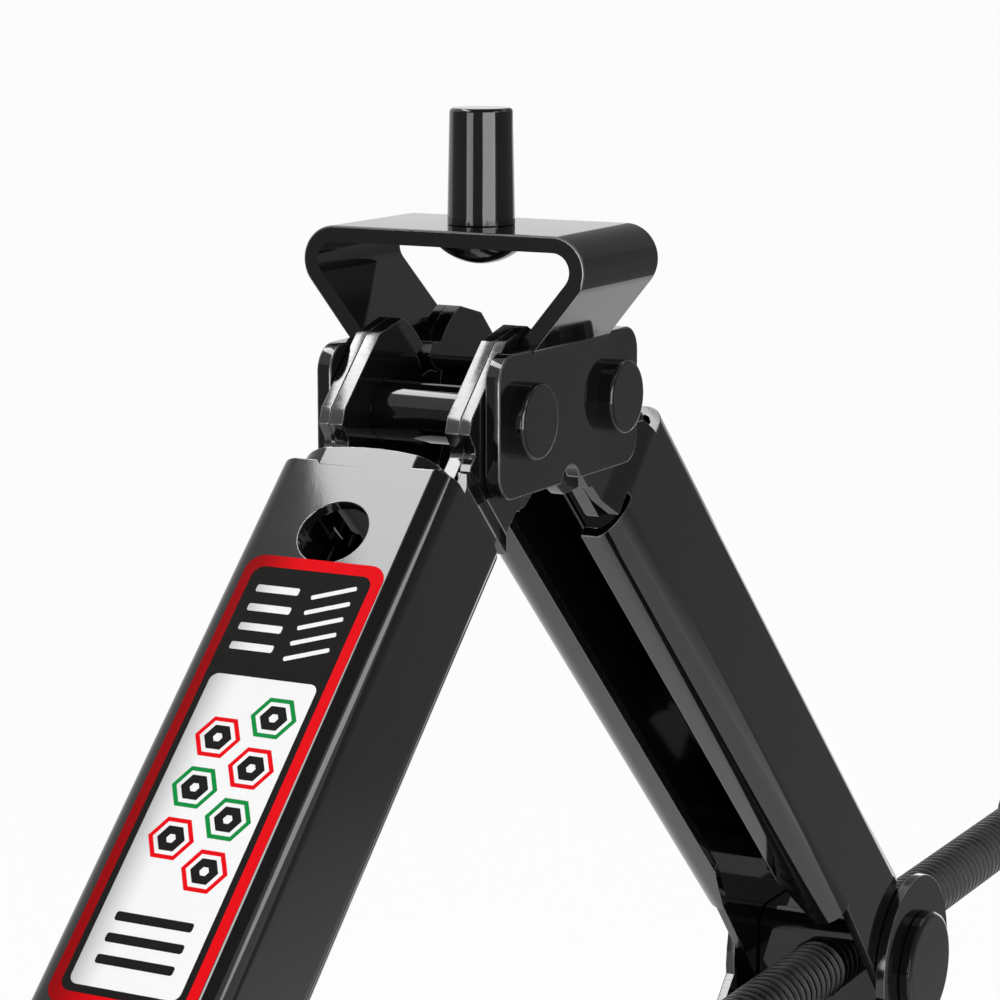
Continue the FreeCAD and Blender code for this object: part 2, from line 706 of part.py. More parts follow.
# Two riveted pivot pins: flat head to the front, low head to the back
def make_pivot_pins(name, outside, height):
    body = new_body(name, (ZERO, ZERO, height))
    shank = dim("pivot_radius")
    head = dim("pivot_head_radius")
    edge = dim("pivot_head_round")
    front = -outside - dim("pivot_head_height")
    back = outside + dim("pivot_head_height") * 0.8
    sketch = new_sketch(body, "XY_Plane", {"x": half_centres})
    outline(sketch, [(ZERO, front), (head - edge, front), (head, front + edge), (head, -outside),
                     (shank, -outside), (shank, outside), (head, outside),
                     (head, back - edge * 2), (head - edge * 2, back), (ZERO, back)],
            {1: ((head - edge, front + edge), edge, True)})
    feature = turned(body, sketch, "V_Axis")
    mirrored(body, [feature], "YZ_Plane")
    return body


pieces.append(make_pivot_pins("saddle_pivot_pins", span, saddle_z))
pieces.append(make_pivot_pins("base_pivot_pins", base_outer, base_z))

# Base: pressed plate with wide feet and two upturned cheeks
base = new_body("base_plate", (ZERO, ZERO, ZERO))
thick = dim("base_gauge")
long = dim("base_half_length")
wide = dim("base_half_width")
inset = dim("base_foot_inset")
quarter = [(long, wide), (inset, wide), (inset, base_outer)]
sketch = new_sketch(base, "XY_Plane")
outline(sketch, quarter + [(-x, y) for x, y in quarter[::-1]] + [(-x, -y) for x, y in quarter]
        + [(x, -y) for x, y in quarter[::-1]])
pad(base, sketch, thick)
rounded(base, dim("base_corner"), lambda edge, at: straight(edge, "z") and close(abs(at.x), long))
rounded(base, dim("base_corner") / 2, lambda edge, at: straight(edge, "z")
        and close(abs(at.x), inset) and close(abs(at.y), wide))
sketch = new_sketch(base, "XZ_Plane")
cheek_foot = dim("base_cheek_foot")
cheek_top = dim("base_cheek_top")
peak = base_z + dim("base_cheek_rise")
outline(sketch, [(-cheek_foot, ZERO), (cheek_foot, ZERO), (cheek_foot, thick * 3), (cheek_top, peak),
                 (-cheek_top, peak), (-cheek_foot, thick * 3)])
pad(base, sketch, base_outer * 2, True)
sketch = new_sketch(base, "XZ_Plane")
rectangle(sketch, -long, thick, long, peak + thick)
cut(base, sketch, base_inner * 2)
rounded(base, dim("base_bend_radius") - thick, lambda edge, at: straight(edge, "x")
        and close(abs(at.y), base_inner) and close(at.z, thick))
rounded(base, dim("base_cheek_round"), lambda edge, at: straight(edge, "y")
        and close(at.z, peak))
sketch = new_sketch(base, "XZ_Plane")
circle(sketch, -half_centres, base_z, pivot_hole)
circle(sketch, half_centres, base_z, pivot_hole)
cut(base, sketch)
pieces.append(base)


# Trunnion block with pivot stubs, bored along the screw
def make_trunnion(name, place, turn):
    body = new_body(name, place, turn)
    long = dim("trunnion_half_length")
    high = dim("trunnion_half_height")
    sketch = new_sketch(body, "XZ_Plane")
    rectangle(sketch, -long, -high, long, high)
    pad(body, sketch, block_half * 2, True)
    rounded(body, dim("trunnion_round"), lambda edge, at: straight(edge, "y"))
    sketch = new_sketch(body, "XZ_Plane")
    circle(sketch, ZERO, ZERO, dim("trunnion_stub_radius"))
    pad(body, sketch, stub_end * 2, True)
    sketch = new_sketch(body, "YZ_Plane")
    circle(sketch, ZERO, ZERO, screw_hole)
    cut(body, sketch)
    return body


# The two riveted heads of the stubs
def make_trunnion_caps(name, place, turn):
    body = new_body(name, place, turn)
    face = stub_end + dim("trunnion_cap_height")
    sketch = new_sketch(body, "XZ_Plane")
    circle(sketch, ZERO, ZERO, dim("trunnion_cap_radius"))
    pad(body, sketch, face * 2, True)
    sketch = new_sketch(body, "XZ_Plane")
    circle(sketch, ZERO, ZERO, dim("trunnion_cap_radius") + gauge)
    cut(body, sketch, stub_end * 2)
    rounded(body, dim("trunnion_cap_round"), lambda edge, at: close(abs(at.y), face))
    return body


drive_place = ((-trunnion_x, ZERO, trunnion_z), (180, None, 0))
nut_place = ((trunnion_x, ZERO, trunnion_z), (0, None, 0))
for name, spot in (("drive_trunnion", drive_place), ("nut_trunnion", nut_place)):
    pieces.append(make_trunnion(name, spot[0], spot[1]))
    pieces.append(make_trunnion_caps(name + "_caps", spot[0], spot[1]))

# Lead screw and what it carries, outwards along X from the drive trunnion
screw = dim("screw_radius")
washer = dim("thrust_washer_gauge")
washer_in = dim("trunnion_half_length")
balls_in = washer_in + washer + running
ball_middle = balls_in + dim("ball_radius")
washer_out = ball_middle + dim("ball_radius") + running
collar_in = washer_out + washer
collar_out = collar_in + dim("screw_collar_length")
nose_end = collar_out + dim("screw_nose")
retainer_in = -(dim("trunnion_half_length") + side_gap)
retainer_out = retainer_in - dim("retainer_length")
folded_spread = dim("gear_centres") + arm * cosine(dim("folded_lean")) * 2
stop_in = -(folded_spread + dim("trunnion_half_length") + dim("stop_room"))
stop_out = stop_in - dim("stop_length")
screw_end = stop_out - dim("screw_end_spare")
eye_pin = collar_out + dim("screw_nose") / 2
retainer_pin = (retainer_in + retainer_out) / 2
stop_pin = (stop_in + stop_out) / 2


def screw_body(name):
    return new_body(name, drive_place[0], drive_place[1])


def cross_holes(body, spots, radius):
    sketch = new_sketch(body, "XZ_Plane")
    for spot in spots:
        circle(sketch, spot, ZERO, radius)
    cut(body, sketch)


pin_hole = dim("cross_pin_radius") + running
body = screw_body("lead_screw")
bevel = dim("screw_end_chamfer")
sketch = new_sketch(body, "XZ_Plane")
outline(sketch, [(screw_end, ZERO), (nose_end, ZERO), (nose_end, screw - bevel), (nose_end - bevel, screw),
                 (collar_out, screw), (collar_out, dim("screw_collar_radius")),
                 (collar_in, dim("screw_collar_radius")), (collar_in, screw), (screw_end + bevel, screw),
                 (screw_end, screw - bevel)])
turned(body, sketch, "H_Axis")
cross_holes(body, (eye_pin, retainer_pin, stop_pin), pin_hole)
pieces.append(body)


# A ring on the screw
def make_ring(name, first, last, inner, outer, bevel=None):
    body = screw_body(name)
    sketch = new_sketch(body, "YZ_Plane", {"z": first})
    circle(sketch, ZERO, ZERO, outer)
    circle(sketch, ZERO, ZERO, inner)
    pad(body, sketch, last - first)
    if bevel is not None:
        rounded(body, bevel, lambda edge, at: isinstance(edge.Curve, Part.Circle)
                and close(edge.Curve.Radius, outer), True)
    pieces.append(body)
    return body


make_ring("thrust_washer_inner", washer_in, washer_in + washer, screw_hole, dim("thrust_washer_radius"))
make_ring("thrust_washer_outer", washer_out, collar_in, screw_hole, dim("thrust_washer_radius"))
ring = make_ring("retaining_collar", retainer_out, retainer_in, screw_hole, dim("retainer_radius"),
                 dim("screw_end_chamfer") / 2)
cross_holes(ring, (retainer_pin,), pin_hole)
ring = make_ring("end_stop_collar", stop_out, stop_in, screw_hole, dim("stop_radius"),
                 dim("screw_end_chamfer") / 2)
cross_holes(ring, (stop_pin,), pin_hole)

# Ball cage and balls of the thrust bearing
count = int(dim("ball_count").value)
cage = make_ring("thrust_cage", ball_middle - dim("cage_gauge") / 2, ball_middle + dim("cage_gauge") / 2,
                 dim("ball_circle") - dim("cage_half_width"), dim("ball_circle") + dim("cage_half_width"))
sketch = new_sketch(cage, "YZ_Plane", {"z": ball_middle})
circle(sketch, dim("ball_circle"), ZERO, dim("ball_radius") + running)
around(cage, cut(cage, sketch, dim("cage_gauge") * 2), sketch, count, 360.0)
balls = screw_body("thrust_balls")
sketch = new_sketch(balls, "XY_Plane", {"x": ball_middle, "y": dim("ball_circle")})
ball = dim("ball_radius")
outline(sketch, [(-ball, ZERO), (ball, ZERO), (ZERO, ball)],
        {1: ((ZERO, ZERO), ball, True), 2: ((ZERO, ZERO), ball, True)})
feature = turned(balls, sketch, "H_Axis")
turning = new_sketch(balls, "YZ_Plane")
around(balls, feature, turning, count, 360.0)
pieces.append(balls)

# Drive eye on the nose of the screw
eye = screw_body("drive_eye")
shank_end = collar_out + dim("eye_shank_length")
ring_x = shank_end + dim("eye_reach")
ring_radius = dim("eye_ring_radius")
sketch = new_sketch(eye, "XZ_Plane")
circle(sketch, ring_x, ZERO, ring_radius)
pad(eye, sketch, dim("eye_ring_width"), True)
rounded(eye, dim("eye_ring_width") / 5, lambda edge, at: isinstance(edge.Curve, Part.Circle))
sketch = new_sketch(eye, "YZ_Plane", {"z": collar_out})
circle(sketch, ZERO, ZERO, dim("eye_shank_radius"))
pad(eye, sketch, dim("eye_shank_length"))
sketch = new_sketch(eye, "YZ_Plane", {"z": collar_out})
circle(sketch, ZERO, ZERO, screw_hole)
feature = cut(eye, sketch, nose_end - collar_out + running, False)
feature.Reversed = True
sketch = new_sketch(eye, "XZ_Plane")
circle(sketch, ring_x, ZERO, dim("eye_bore_radius"))
cut(eye, sketch)
cross_holes(eye, (eye_pin,), pin_hole)
pieces.append(eye)

# Spring pins through the screw
for name, spot, length in (("drive_eye_pin", eye_pin, dim("eye_shank_radius")),
                           ("retaining_collar_pin", retainer_pin, dim("retainer_radius")),
                           ("end_stop_pin", stop_pin, dim("stop_radius"))):
    body = screw_body(name)
    sketch = new_sketch(body, "XZ_Plane")
    circle(sketch, spot, ZERO, dim("cross_pin_radius"))
    pad(body, sketch, (length - dim("cross_pin_inset")) * 2, True)
    pieces.append(body)

doc.recompute()

# Nothing is written unless every object is sound
for item in doc.Objects:
    if "Invalid" in item.State or "Error" in item.State:
        raise RuntimeError("%s did not rebuild" % item.Name)
for piece in pieces:
    if piece.Shape.isNull() or not piece.Shape.isValid() or not piece.Shape.Solids:
        raise RuntimeError("%s has no sound solid" % piece.Label)

os.makedirs("parts", exist_ok=True)
for piece in pieces:
    piece.Shape.exportStep("parts/%s.step" % piece.Label)
    print(piece.Label, len(piece.Shape.Solids), round(piece.Shape.Volume, 1))
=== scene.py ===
import json
import math

import bpy
from bpy.props import FloatProperty, FloatVectorProperty, IntProperty, PointerProperty
from mathutils import Matrix, Vector
from mathutils.geometry import intersect_line_line_2d, intersect_point_line


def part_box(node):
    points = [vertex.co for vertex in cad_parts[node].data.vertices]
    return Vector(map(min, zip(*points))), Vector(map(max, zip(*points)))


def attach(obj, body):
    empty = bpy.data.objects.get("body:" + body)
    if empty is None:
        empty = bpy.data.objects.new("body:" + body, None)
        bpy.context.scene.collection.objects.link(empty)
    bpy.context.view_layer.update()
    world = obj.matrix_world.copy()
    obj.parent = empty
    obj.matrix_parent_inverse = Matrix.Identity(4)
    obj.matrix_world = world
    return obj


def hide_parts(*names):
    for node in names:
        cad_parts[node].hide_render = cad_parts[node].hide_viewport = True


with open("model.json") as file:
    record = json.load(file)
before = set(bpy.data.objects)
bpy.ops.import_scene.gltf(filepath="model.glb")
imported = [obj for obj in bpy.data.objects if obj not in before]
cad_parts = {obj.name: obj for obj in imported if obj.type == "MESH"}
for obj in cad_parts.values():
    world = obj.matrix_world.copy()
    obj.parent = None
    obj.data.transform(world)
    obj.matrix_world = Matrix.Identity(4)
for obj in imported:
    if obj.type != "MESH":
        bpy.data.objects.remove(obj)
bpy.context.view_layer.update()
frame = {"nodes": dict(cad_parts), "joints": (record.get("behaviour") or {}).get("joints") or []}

bl_info = {
    "name": "Scissor jack",
    "version": (1, 0, 0),
    "blender": (4, 5, 0),
    "location": "View3D > Sidebar > Jack",
    "description": "Finishes the pieces of a scissor jack and sets up its studio",
    "category": "Object",
}

MM = 0.001
# points closer than this are one point, on a copy of a solid and on a new piece
TINY = 2e-6
MERGE = 1e-6
# cosine above which a face or an edge is square to a direction
SQUARE = 0.97


def linear(code):
    """Linear red, green and blue of an sRGB hex colour."""
    parts = [int(code[i:i + 2], 16) / 255 for i in (1, 3, 5)]
    return [p / 12.92 if p <= 0.04045 else ((p + 0.055) / 1.055) ** 2.4 for p in parts]


def joint_place(name):
    """Where a joint of the frame turns."""
    found = [joint for joint in frame["joints"] if joint["name"] == name]
    return Vector(found[0]["pos_m"])


# Left upper arm: from its pin in the saddle down to the elbow, and out of its web
HEAD = joint_place("saddle_pivot")
ELBOW = joint_place("elbow_left")
ALONG = (ELBOW - HEAD).normalized()
ACROSS = Vector((0, -1, 0))
OUT = ALONG.cross(ACROSS)
SCREW_PLACE = joint_place("screw_turn")


class ThreadSizes(bpy.types.PropertyGroup):
    """Rolled trapezoidal thread of the lead screw."""

    crest: FloatProperty(name="Crest radius", description="Outside of the thread", default=7.0 * MM,
                         unit="LENGTH", subtype="DISTANCE", precision=4)
    depth: FloatProperty(name="Depth", description="Crest to root", default=1.6 * MM,
                         unit="LENGTH", subtype="DISTANCE", precision=4)
    pitch: FloatProperty(name="Pitch", description="Crest to crest", default=3.0 * MM,
                         unit="LENGTH", subtype="DISTANCE", precision=4)
    steps: IntProperty(name="Steps", description="Faces round one turn", default=40, min=12)


class LabelSizes(bpy.types.PropertyGroup):
    """Printed film on the web of the left upper arm."""

    start: FloatProperty(name="Start", description="From the saddle pin along the arm", default=43.4 * MM,
                         unit="LENGTH", subtype="DISTANCE", precision=4)
    length: FloatProperty(name="Length", description="Along the arm", default=89.4 * MM,
                          unit="LENGTH", subtype="DISTANCE", precision=4)
    width: FloatProperty(name="Width", description="Across the web", default=27.6 * MM,
                         unit="LENGTH", subtype="DISTANCE", precision=4)
    film: FloatProperty(name="Film", description="Thickness of the film", default=0.12 * MM,
                        unit="LENGTH", subtype="DISTANCE", precision=5)
    ink: FloatProperty(name="Ink", description="Thickness of one printed layer", default=0.02 * MM,
                       unit="LENGTH", subtype="DISTANCE", precision=5)


class EdgeSizes(bpy.types.PropertyGroup):
    """Softened edges of the pieces."""

    sheet: FloatProperty(name="Sheet edge", description="Rounding of the saddle's and the base's edges",
                         default=0.36 * MM, unit="LENGTH", subtype="DISTANCE", precision=5)
    arm: FloatProperty(name="Arm edge", description="Rounding of the arms' and gear plates' edges",
                       default=0.2 * MM, unit="LENGTH", subtype="DISTANCE", precision=5)
    turned: FloatProperty(name="Turned edge", description="Rounding of turned and forged edges",
                          default=0.22 * MM, unit="LENGTH", subtype="DISTANCE", precision=5)
    arm_gauge: FloatProperty(name="Arm sheet", description="Thickness of the arms", default=2.2 * MM,
                             unit="LENGTH", subtype="DISTANCE", precision=5)
    plate_gauge: FloatProperty(name="Gear plate", description="Thickness of the gear plates",
                               default=2.85 * MM, unit="LENGTH", subtype="DISTANCE", precision=5)


class ArmShapes(bpy.types.PropertyGroup):
    """Lips and gear plate tails of the upper arms, as in the solids and as shown."""

    half_width: FloatProperty(name="Half width", description="Outer face of the flanges", default=17.85 * MM,
                              unit="LENGTH", subtype="DISTANCE", precision=4)
    drop: FloatProperty(name="Drop", description="Outer face of the lips below the pin", default=15.2 * MM,
                        unit="LENGTH", subtype="DISTANCE", precision=4)
    head: FloatProperty(name="Lip head", description="Start of the lips from the pin", default=21.9 * MM,
                        unit="LENGTH", subtype="DISTANCE", precision=4)
    tail: FloatProperty(name="Lip tail", description="End of the lips before the elbow", default=46.0 * MM,
                        unit="LENGTH", subtype="DISTANCE", precision=4)
    relief: FloatProperty(name="Relief", description="Width of the bend reliefs", default=1.6 * MM,
                          unit="LENGTH", subtype="DISTANCE", precision=4)
    bend: FloatProperty(name="Solid bend", description="Outer bend of the solid's lips", default=2.7 * MM,
                        unit="LENGTH", subtype="DISTANCE", precision=4)
    width: FloatProperty(name="Solid lip", description="Width of the solid's lips", default=5.6 * MM,
                         unit="LENGTH", subtype="DISTANCE", precision=4)
    shown_bend: FloatProperty(name="Bend", description="Outer bend of the lips", default=6.4 * MM,
                              unit="LENGTH", subtype="DISTANCE", precision=4)
    shown_width: FloatProperty(name="Lip", description="Width of the lips", default=10.2 * MM,
                               unit="LENGTH", subtype="DISTANCE", precision=4)
    shown_head: FloatProperty(name="Lip flat head", description="Start of the lips' flats from the pin",
                              default=26.4 * MM, unit="LENGTH", subtype="DISTANCE", precision=4)
    shown_taper: FloatProperty(name="Lip taper", description="Slanted end of the lips' flats at the elbow",
                               default=20.0 * MM, unit="LENGTH", subtype="DISTANCE", precision=4)
    plate_tail: FloatProperty(name="Plate tail", description="End of the gear plates from the pin",
                              default=23.6 * MM, unit="LENGTH", subtype="DISTANCE", precision=4)
    plate_corner: FloatProperty(name="Plate corner", description="Rounding of the gear plates' lower corner",
                                default=3.0 * MM, unit="LENGTH", subtype="DISTANCE", precision=4)


class FinishColours(bpy.types.PropertyGroup):
    """Colours of the finishes."""

    enamel: FloatVectorProperty(name="Enamel", description="Black stoving enamel", subtype="COLOR",
                                default=linear("#0b0b0c"))
    # partly painted highlight: light steel on the rounded edges, partly enamel worn thin
    worn: FloatVectorProperty(name="Worn edge", description="Steel under thin enamel", subtype="COLOR",
                              default=linear("#747476"))
    oxide: FloatVectorProperty(name="Oxide", description="Blackened screw steel", subtype="COLOR",
                               default=linear("#4a4a4c"))
    bright: FloatVectorProperty(name="Bright steel", description="Ground bearing steel", subtype="COLOR",
                                default=linear("#b9bcc0"))
    red: FloatVectorProperty(name="Label red", description="Film of the label", subtype="COLOR",
                             default=linear("#e20613"))
    black: FloatVectorProperty(name="Label black", description="Black ink", subtype="COLOR",
                               default=linear("#161514"))
    white: FloatVectorProperty(name="Label white", description="White ink", subtype="COLOR",
                               default=linear("#f2f2f2"))
    # painted shade: grey for the darker far side of the white panel
    white_far_shade: FloatVectorProperty(name="Label silver", description="Silver end of the white panel",
                                subtype="COLOR", default=linear("#a0a0a0"))
    green: FloatVectorProperty(name="Label green", description="Green ink", subtype="COLOR",
                               default=linear("#0b8a3d"))


class StageSizes(bpy.types.PropertyGroup):
    """Camera, lamps and floor."""

    lens: FloatProperty(name="Lens", description="Focal length on a 36 mm frame", default=117.27)
    camera: FloatVectorProperty(name="Camera", description="Place of the camera", subtype="TRANSLATION",
                                default=(-0.530086, -0.288004, 0.434218))
    turn: FloatVectorProperty(name="Camera turn", description="Turn of the camera", subtype="EULER",
                              default=(math.radians(79.989), 0.0, math.radians(-61.815)))
    floor: FloatProperty(name="Floor", description="Side of the floor", default=80.0, unit="LENGTH")
    floor_white: FloatProperty(name="Floor white", description="Share of plain white in the floor's look",
                               default=0.97, min=0.0, max=1.0)
    fill: FloatProperty(name="Fill", description="Light of the surroundings on the jack", default=0.06,
                        min=0.0)


def sizes(name):
    """The scene's settings of one group."""
    return getattr(bpy.context.scene, name)


# Shared steps of modelling
def clear():
    """Leaves edit mode with nothing selected."""
    if bpy.context.mode != "OBJECT":
        bpy.ops.object.mode_set(mode="OBJECT")
    bpy.ops.object.select_all(action="DESELECT")


def only(piece):
    """Selects this piece alone."""
    clear()
    piece.select_set(True)
    bpy.context.view_layer.objects.active = piece


def edit(piece):
    """Goes into edit mode with all of the piece selected."""
    only(piece)
    bpy.ops.object.mode_set(mode="EDIT")
    bpy.ops.mesh.select_all(action="SELECT")


def applied(piece, kind, **settings):
    """Adds a modifier with these settings and applies it."""
    only(piece)
    modifier = piece.modifiers.new(kind.title(), kind)
    for name, value in settings.items():
        setattr(modifier, name, value)
    bpy.ops.object.modifier_apply(modifier=modifier.name)


def smooth(piece, angle=30.0):
    """Smooth shading that leaves the large flats flat."""
    only(piece)
    bpy.ops.object.shade_smooth_by_angle(angle=math.radians(angle))
    applied(piece, "WEIGHTED_NORMAL", keep_sharp=True, weight=100)


def settle(piece, matrix):
    """Moves a new piece to its place and puts the place in its mesh."""
    only(piece)
    piece.matrix_world = matrix
    bpy.ops.object.transform_apply(location=True, rotation=True, scale=True)


def joined(pieces, name):
    """One piece out of several."""
    clear()
    for piece in pieces:
        piece.select_set(True)
    bpy.context.view_layer.objects.active = pieces[0]
    if len(pieces) > 1:
        bpy.ops.object.join()
    pieces[0].name = name
    pieces[0].data.name = name
    return pieces[0]


def dress(piece, *materials):
    """Gives a piece these materials and no others."""
    piece.data.materials.clear()
    for material in materials:
        piece.data.materials.append(material)


def drawn(name, points):
    """A chain of edges drawn from point to point."""
    clear()
    bpy.ops.mesh.primitive_plane_add(size=1.0, location=(0, 0, 0))
    piece = bpy.context.object
    piece.name = name
    bpy.ops.object.mode_set(mode="EDIT")
    bpy.ops.mesh.select_all(action="SELECT")
    bpy.ops.mesh.merge(type="CENTER")
    bpy.ops.transform.translate(value=points[0])
    for before, after in zip(points, points[1:]):
        step = Vector(after) - Vector(before)
        bpy.ops.mesh.extrude_region_move(TRANSFORM_OT_translate={"value": step})
    bpy.ops.object.mode_set(mode="OBJECT")
    return piece


def lathed(name, points, steps=64):
    """A solid turned about X from a profile of (along, radius) points."""
    piece = drawn(name, [(x, 0.0, r) for x, r in points])
    edit(piece)
    bpy.ops.mesh.spin(steps=steps, angle=2 * math.pi, center=(0, 0, 0), axis=(1, 0, 0), dupli=False)
    bpy.ops.mesh.select_all(action="SELECT")
    bpy.ops.mesh.remove_doubles(threshold=MERGE)
    bpy.ops.mesh.normals_make_consistent(inside=False)
    bpy.ops.object.mode_set(mode="OBJECT")
    return piece


def softened(node, body, width, materials, angle=32.0, edge_gauge=None, sawn=False, shape=None):
    """A copy of a solid with its sharp edges rounded, shown in its place.

    The shape function changes the copy first. The second material goes to the faces across Y that are as
    wide as edge_gauge, which are cut edges of the sheet, or to the sawn ends of pins, and the last one to
    the rounding.
    """
    level = math.radians(0.4)
    piece = bpy.data.objects.new(node + "_finished", frame["nodes"][node].data.copy())
    bpy.context.scene.collection.objects.link(piece)
    edit(piece)
    bpy.ops.mesh.customdata_custom_splitnormals_clear()
    bpy.ops.mesh.remove_doubles(threshold=TINY)
    bpy.ops.mesh.dissolve_limited(angle_limit=level)
    bpy.ops.object.mode_set(mode="OBJECT")
    dress(piece, *materials)
    if shape:
        shape(piece)
    if edge_gauge:
        mark_cut_edges(piece.data, edge_gauge)
    if sawn:
        for face in piece.data.polygons:
            face.material_index = int(abs(face.normal.y) > SQUARE)
    if width:
        weigh_edges(piece.data, math.radians(angle))
        round_edges(piece, width, len(materials) - 1)
    smooth(piece)
    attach(piece, body)
    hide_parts(node)
    return piece


def round_edges(piece, width, slot):
    """Rounds the marked edges. Edges whose rounding would fold a face over stay sharp."""
    folded = True
    while folded:
        unrounded = piece.data.copy()
        applied(piece, "BEVEL", width=width, segments=2, limit_method="WEIGHT", use_clamp_overlap=False,
                material=slot)
        folded = unmark_edges(unrounded, fold_places(piece.data), width)
        if folded:
            piece.data = unrounded


def fold_places(mesh):
    """Places where the outline of a face crosses itself."""
    places = []
    for face in mesh.polygons:
        if len(face.vertices) < 5:
            continue
        lay_flat = face.normal.to_track_quat("Z", "X").to_matrix().transposed()
        corners = [mesh.vertices[i].co for i in face.vertices]
        flat = [(lay_flat @ corner).to_2d() for corner in corners]
        sides = []
        for i, corner in enumerate(corners):
            if (flat[i - 1] - flat[i]).length > TINY:
                sides.append((flat[i - 1], flat[i], corner))
        for i, (a, b, corner) in enumerate(sides):
            for c, d, other in sides[i + 2:]:
                apart = min((a - c).length, (a - d).length, (b - c).length, (b - d).length)
                if apart > TINY and intersect_line_line_2d(a, b, c, d):
                    places += [corner.copy(), other.copy()]
    return places


def unmark_edges(mesh, places, width):
    """Unmarks the edges at these places, short ones first, and says if there were any."""
    weights = mesh.attributes["bevel_weight_edge"].data
    near = 2 * width
    short = 12 * width
    lengths = {}
    for edge in mesh.edges:
        if not weights[edge.index].value:
            continue
        start, end = (mesh.vertices[i].co for i in edge.vertices)
        for place in places:
            share = intersect_point_line(place, start, end)[1]
            if (start.lerp(end, min(max(share, 0.0), 1.0)) - place).length < near:
                lengths[edge.index] = (end - start).length
                break
    for index in [index for index, length in lengths.items() if length < short] or lengths:
        weights[index].value = 0.0
    return bool(lengths)


def weigh_edges(mesh, angle):
    """Marks the sharp convex edges for rounding."""
    sides = {}
    for face in mesh.polygons:
        for key in face.edge_keys:
            sides.setdefault(key, []).append(face)
    weights = mesh.attributes.new("bevel_weight_edge", "FLOAT", "EDGE")
    for edge in mesh.edges:
        pair = sides.get(edge.key, [])
        if len(pair) != 2:
            continue
        start = mesh.vertices[edge.vertices[0]].co
        sharp = pair[0].normal.angle(pair[1].normal, 0.0) > angle
        convex = (pair[1].center - start).dot(pair[0].normal) < 0
        weights.data[edge.index].value = float(sharp and convex)


def mark_cut_edges(mesh, gauge):
    """Gives the faces as wide as the sheet is thick the second material."""
    slack = 0.12 * gauge
    edge_on = 0.2
    for face in mesh.polygons:
        across = [mesh.vertices[i].co.y for i in face.vertices]
        width = max(across) - min(across)
        face.material_index = int(abs(width - gauge) < slack and abs(face.normal.y) < edge_on)


def arm_axes(piece):
    """Pin, way along and way out of the web of the upper arm on this piece's side of the jack."""
    side = 1.0 if piece.data.vertices[0].co.x < 0 else -1.0
    flip = Vector((side, 1.0, 1.0))
    return HEAD * flip, ALONG * flip, OUT * flip


def widen_lips(piece):
    """Turns the lips of an upper arm further in than the solid's, on a rounder bend, with slanted ends."""
    arm = sizes("jack_arms")
    pin, along, out = arm_axes(piece)
    end = (ELBOW - HEAD).length - arm.tail
    grow = arm.shown_bend - arm.bend
    hub = Vector((arm.half_width - arm.bend, arm.bend - arm.drop))
    shown_hub = hub + Vector((-grow, grow))
    stretch = (arm.shown_width - arm.shown_bend) / (arm.width - arm.bend)
    near = 0.05 * MM
    relief_start = arm.head - arm.relief - near
    relief_end = end + arm.relief + near
    for vertex in piece.data.vertices:
        place = vertex.co - pin
        reach = place.dot(along)
        spot = Vector((abs(place.y), place.dot(out)))
        from_hub = spot - hub
        slant = 0.0
        if from_hub.y < near and arm.head - near < reach < end + near:
            # a point of the lip: on the bend it moves out from the new hub, on the flat further in
            shown = shown_hub + from_hub.normalized() * (from_hub.length + grow)
            if from_hub.x < -near:
                shown = Vector((shown_hub.x + from_hub.x * stretch, spot.y))
            if reach < arm.head + near and place.y < 0:
                share = min((arm.half_width - shown.x) / arm.shown_bend, 1.0)
                slant = share * (arm.shown_head - arm.head)
            if reach > end - near:
                share = max((shown_hub.x - shown.x) / (arm.shown_width - arm.shown_bend), 0.0)
                slant = -share * arm.shown_taper
        elif from_hub.y < arm.bend / 2 and relief_start < reach < relief_end:
            # a point of the reliefs: they rise with the bend, and the one at the tail closes
            at_tail = reach > end + near
            shown = spot + Vector((0.0, grow)) if at_tail or from_hub.y > near else spot
            slant = near - arm.relief if at_tail else 0.0
        else:
            continue
        vertex.co += out * (shown.y - spot.y) + along * slant
        vertex.co.y += (shown.x - spot.x) * math.copysign(1.0, place.y)


def lengthen_tails(piece):
    """Draws the gear plates of an upper arm out along the arm."""
    arm = sizes("jack_arms")
    pin, along, out = arm_axes(piece)
    mesh = piece.data
    slack = 1.0 * MM
    edit(piece)
    bpy.ops.mesh.select_mode(type="FACE")
    bpy.ops.mesh.select_all(action="DESELECT")
    bpy.ops.object.mode_set(mode="OBJECT")
    ends = [face for face in mesh.polygons if face.normal.dot(along) > SQUARE]
    furthest = max((face.center - pin).dot(along) for face in ends)
    for face in ends:
        face.select = (face.center - pin).dot(along) > furthest - slack
    bpy.ops.object.mode_set(mode="EDIT")
    bpy.ops.mesh.extrude_region_move(TRANSFORM_OT_translate={"value": along * (arm.plate_tail - furthest)})
    bpy.ops.mesh.select_mode(type="EDGE")
    bpy.ops.object.mode_set(mode="OBJECT")
    for edge in mesh.edges:
        start, stop = (mesh.vertices[i].co - pin for i in edge.vertices)
        middle = (start + stop) / 2
        across = abs((stop - start).normalized().y) > SQUARE
        edge.select = across and middle.dot(along) > arm.plate_tail - slack and middle.dot(out) < 0
    bpy.ops.object.mode_set(mode="EDIT")
    bpy.ops.mesh.bevel(offset=arm.plate_corner, segments=6, affect="EDGES")
    bpy.ops.mesh.select_mode(type="VERT")
    bpy.ops.object.mode_set(mode="OBJECT")


# Finishes
def add_node(tree, kind, inputs=None, **settings):
    """Adds a node, sets it up and links or sets its sockets."""
    node = tree.nodes.new(kind)
    for name, value in settings.items():
        setattr(node, name, value)
    for socket, value in (inputs or {}).items():
        if isinstance(value, bpy.types.NodeSocket):
            tree.links.new(value, node.inputs[socket])
        else:
            node.inputs[socket].default_value = value
    return node


def new_material(name):
    """An empty material and its node tree."""
    material = bpy.data.materials.new(name)
    material.use_nodes = True
    material.node_tree.nodes.clear()
    return material, material.node_tree


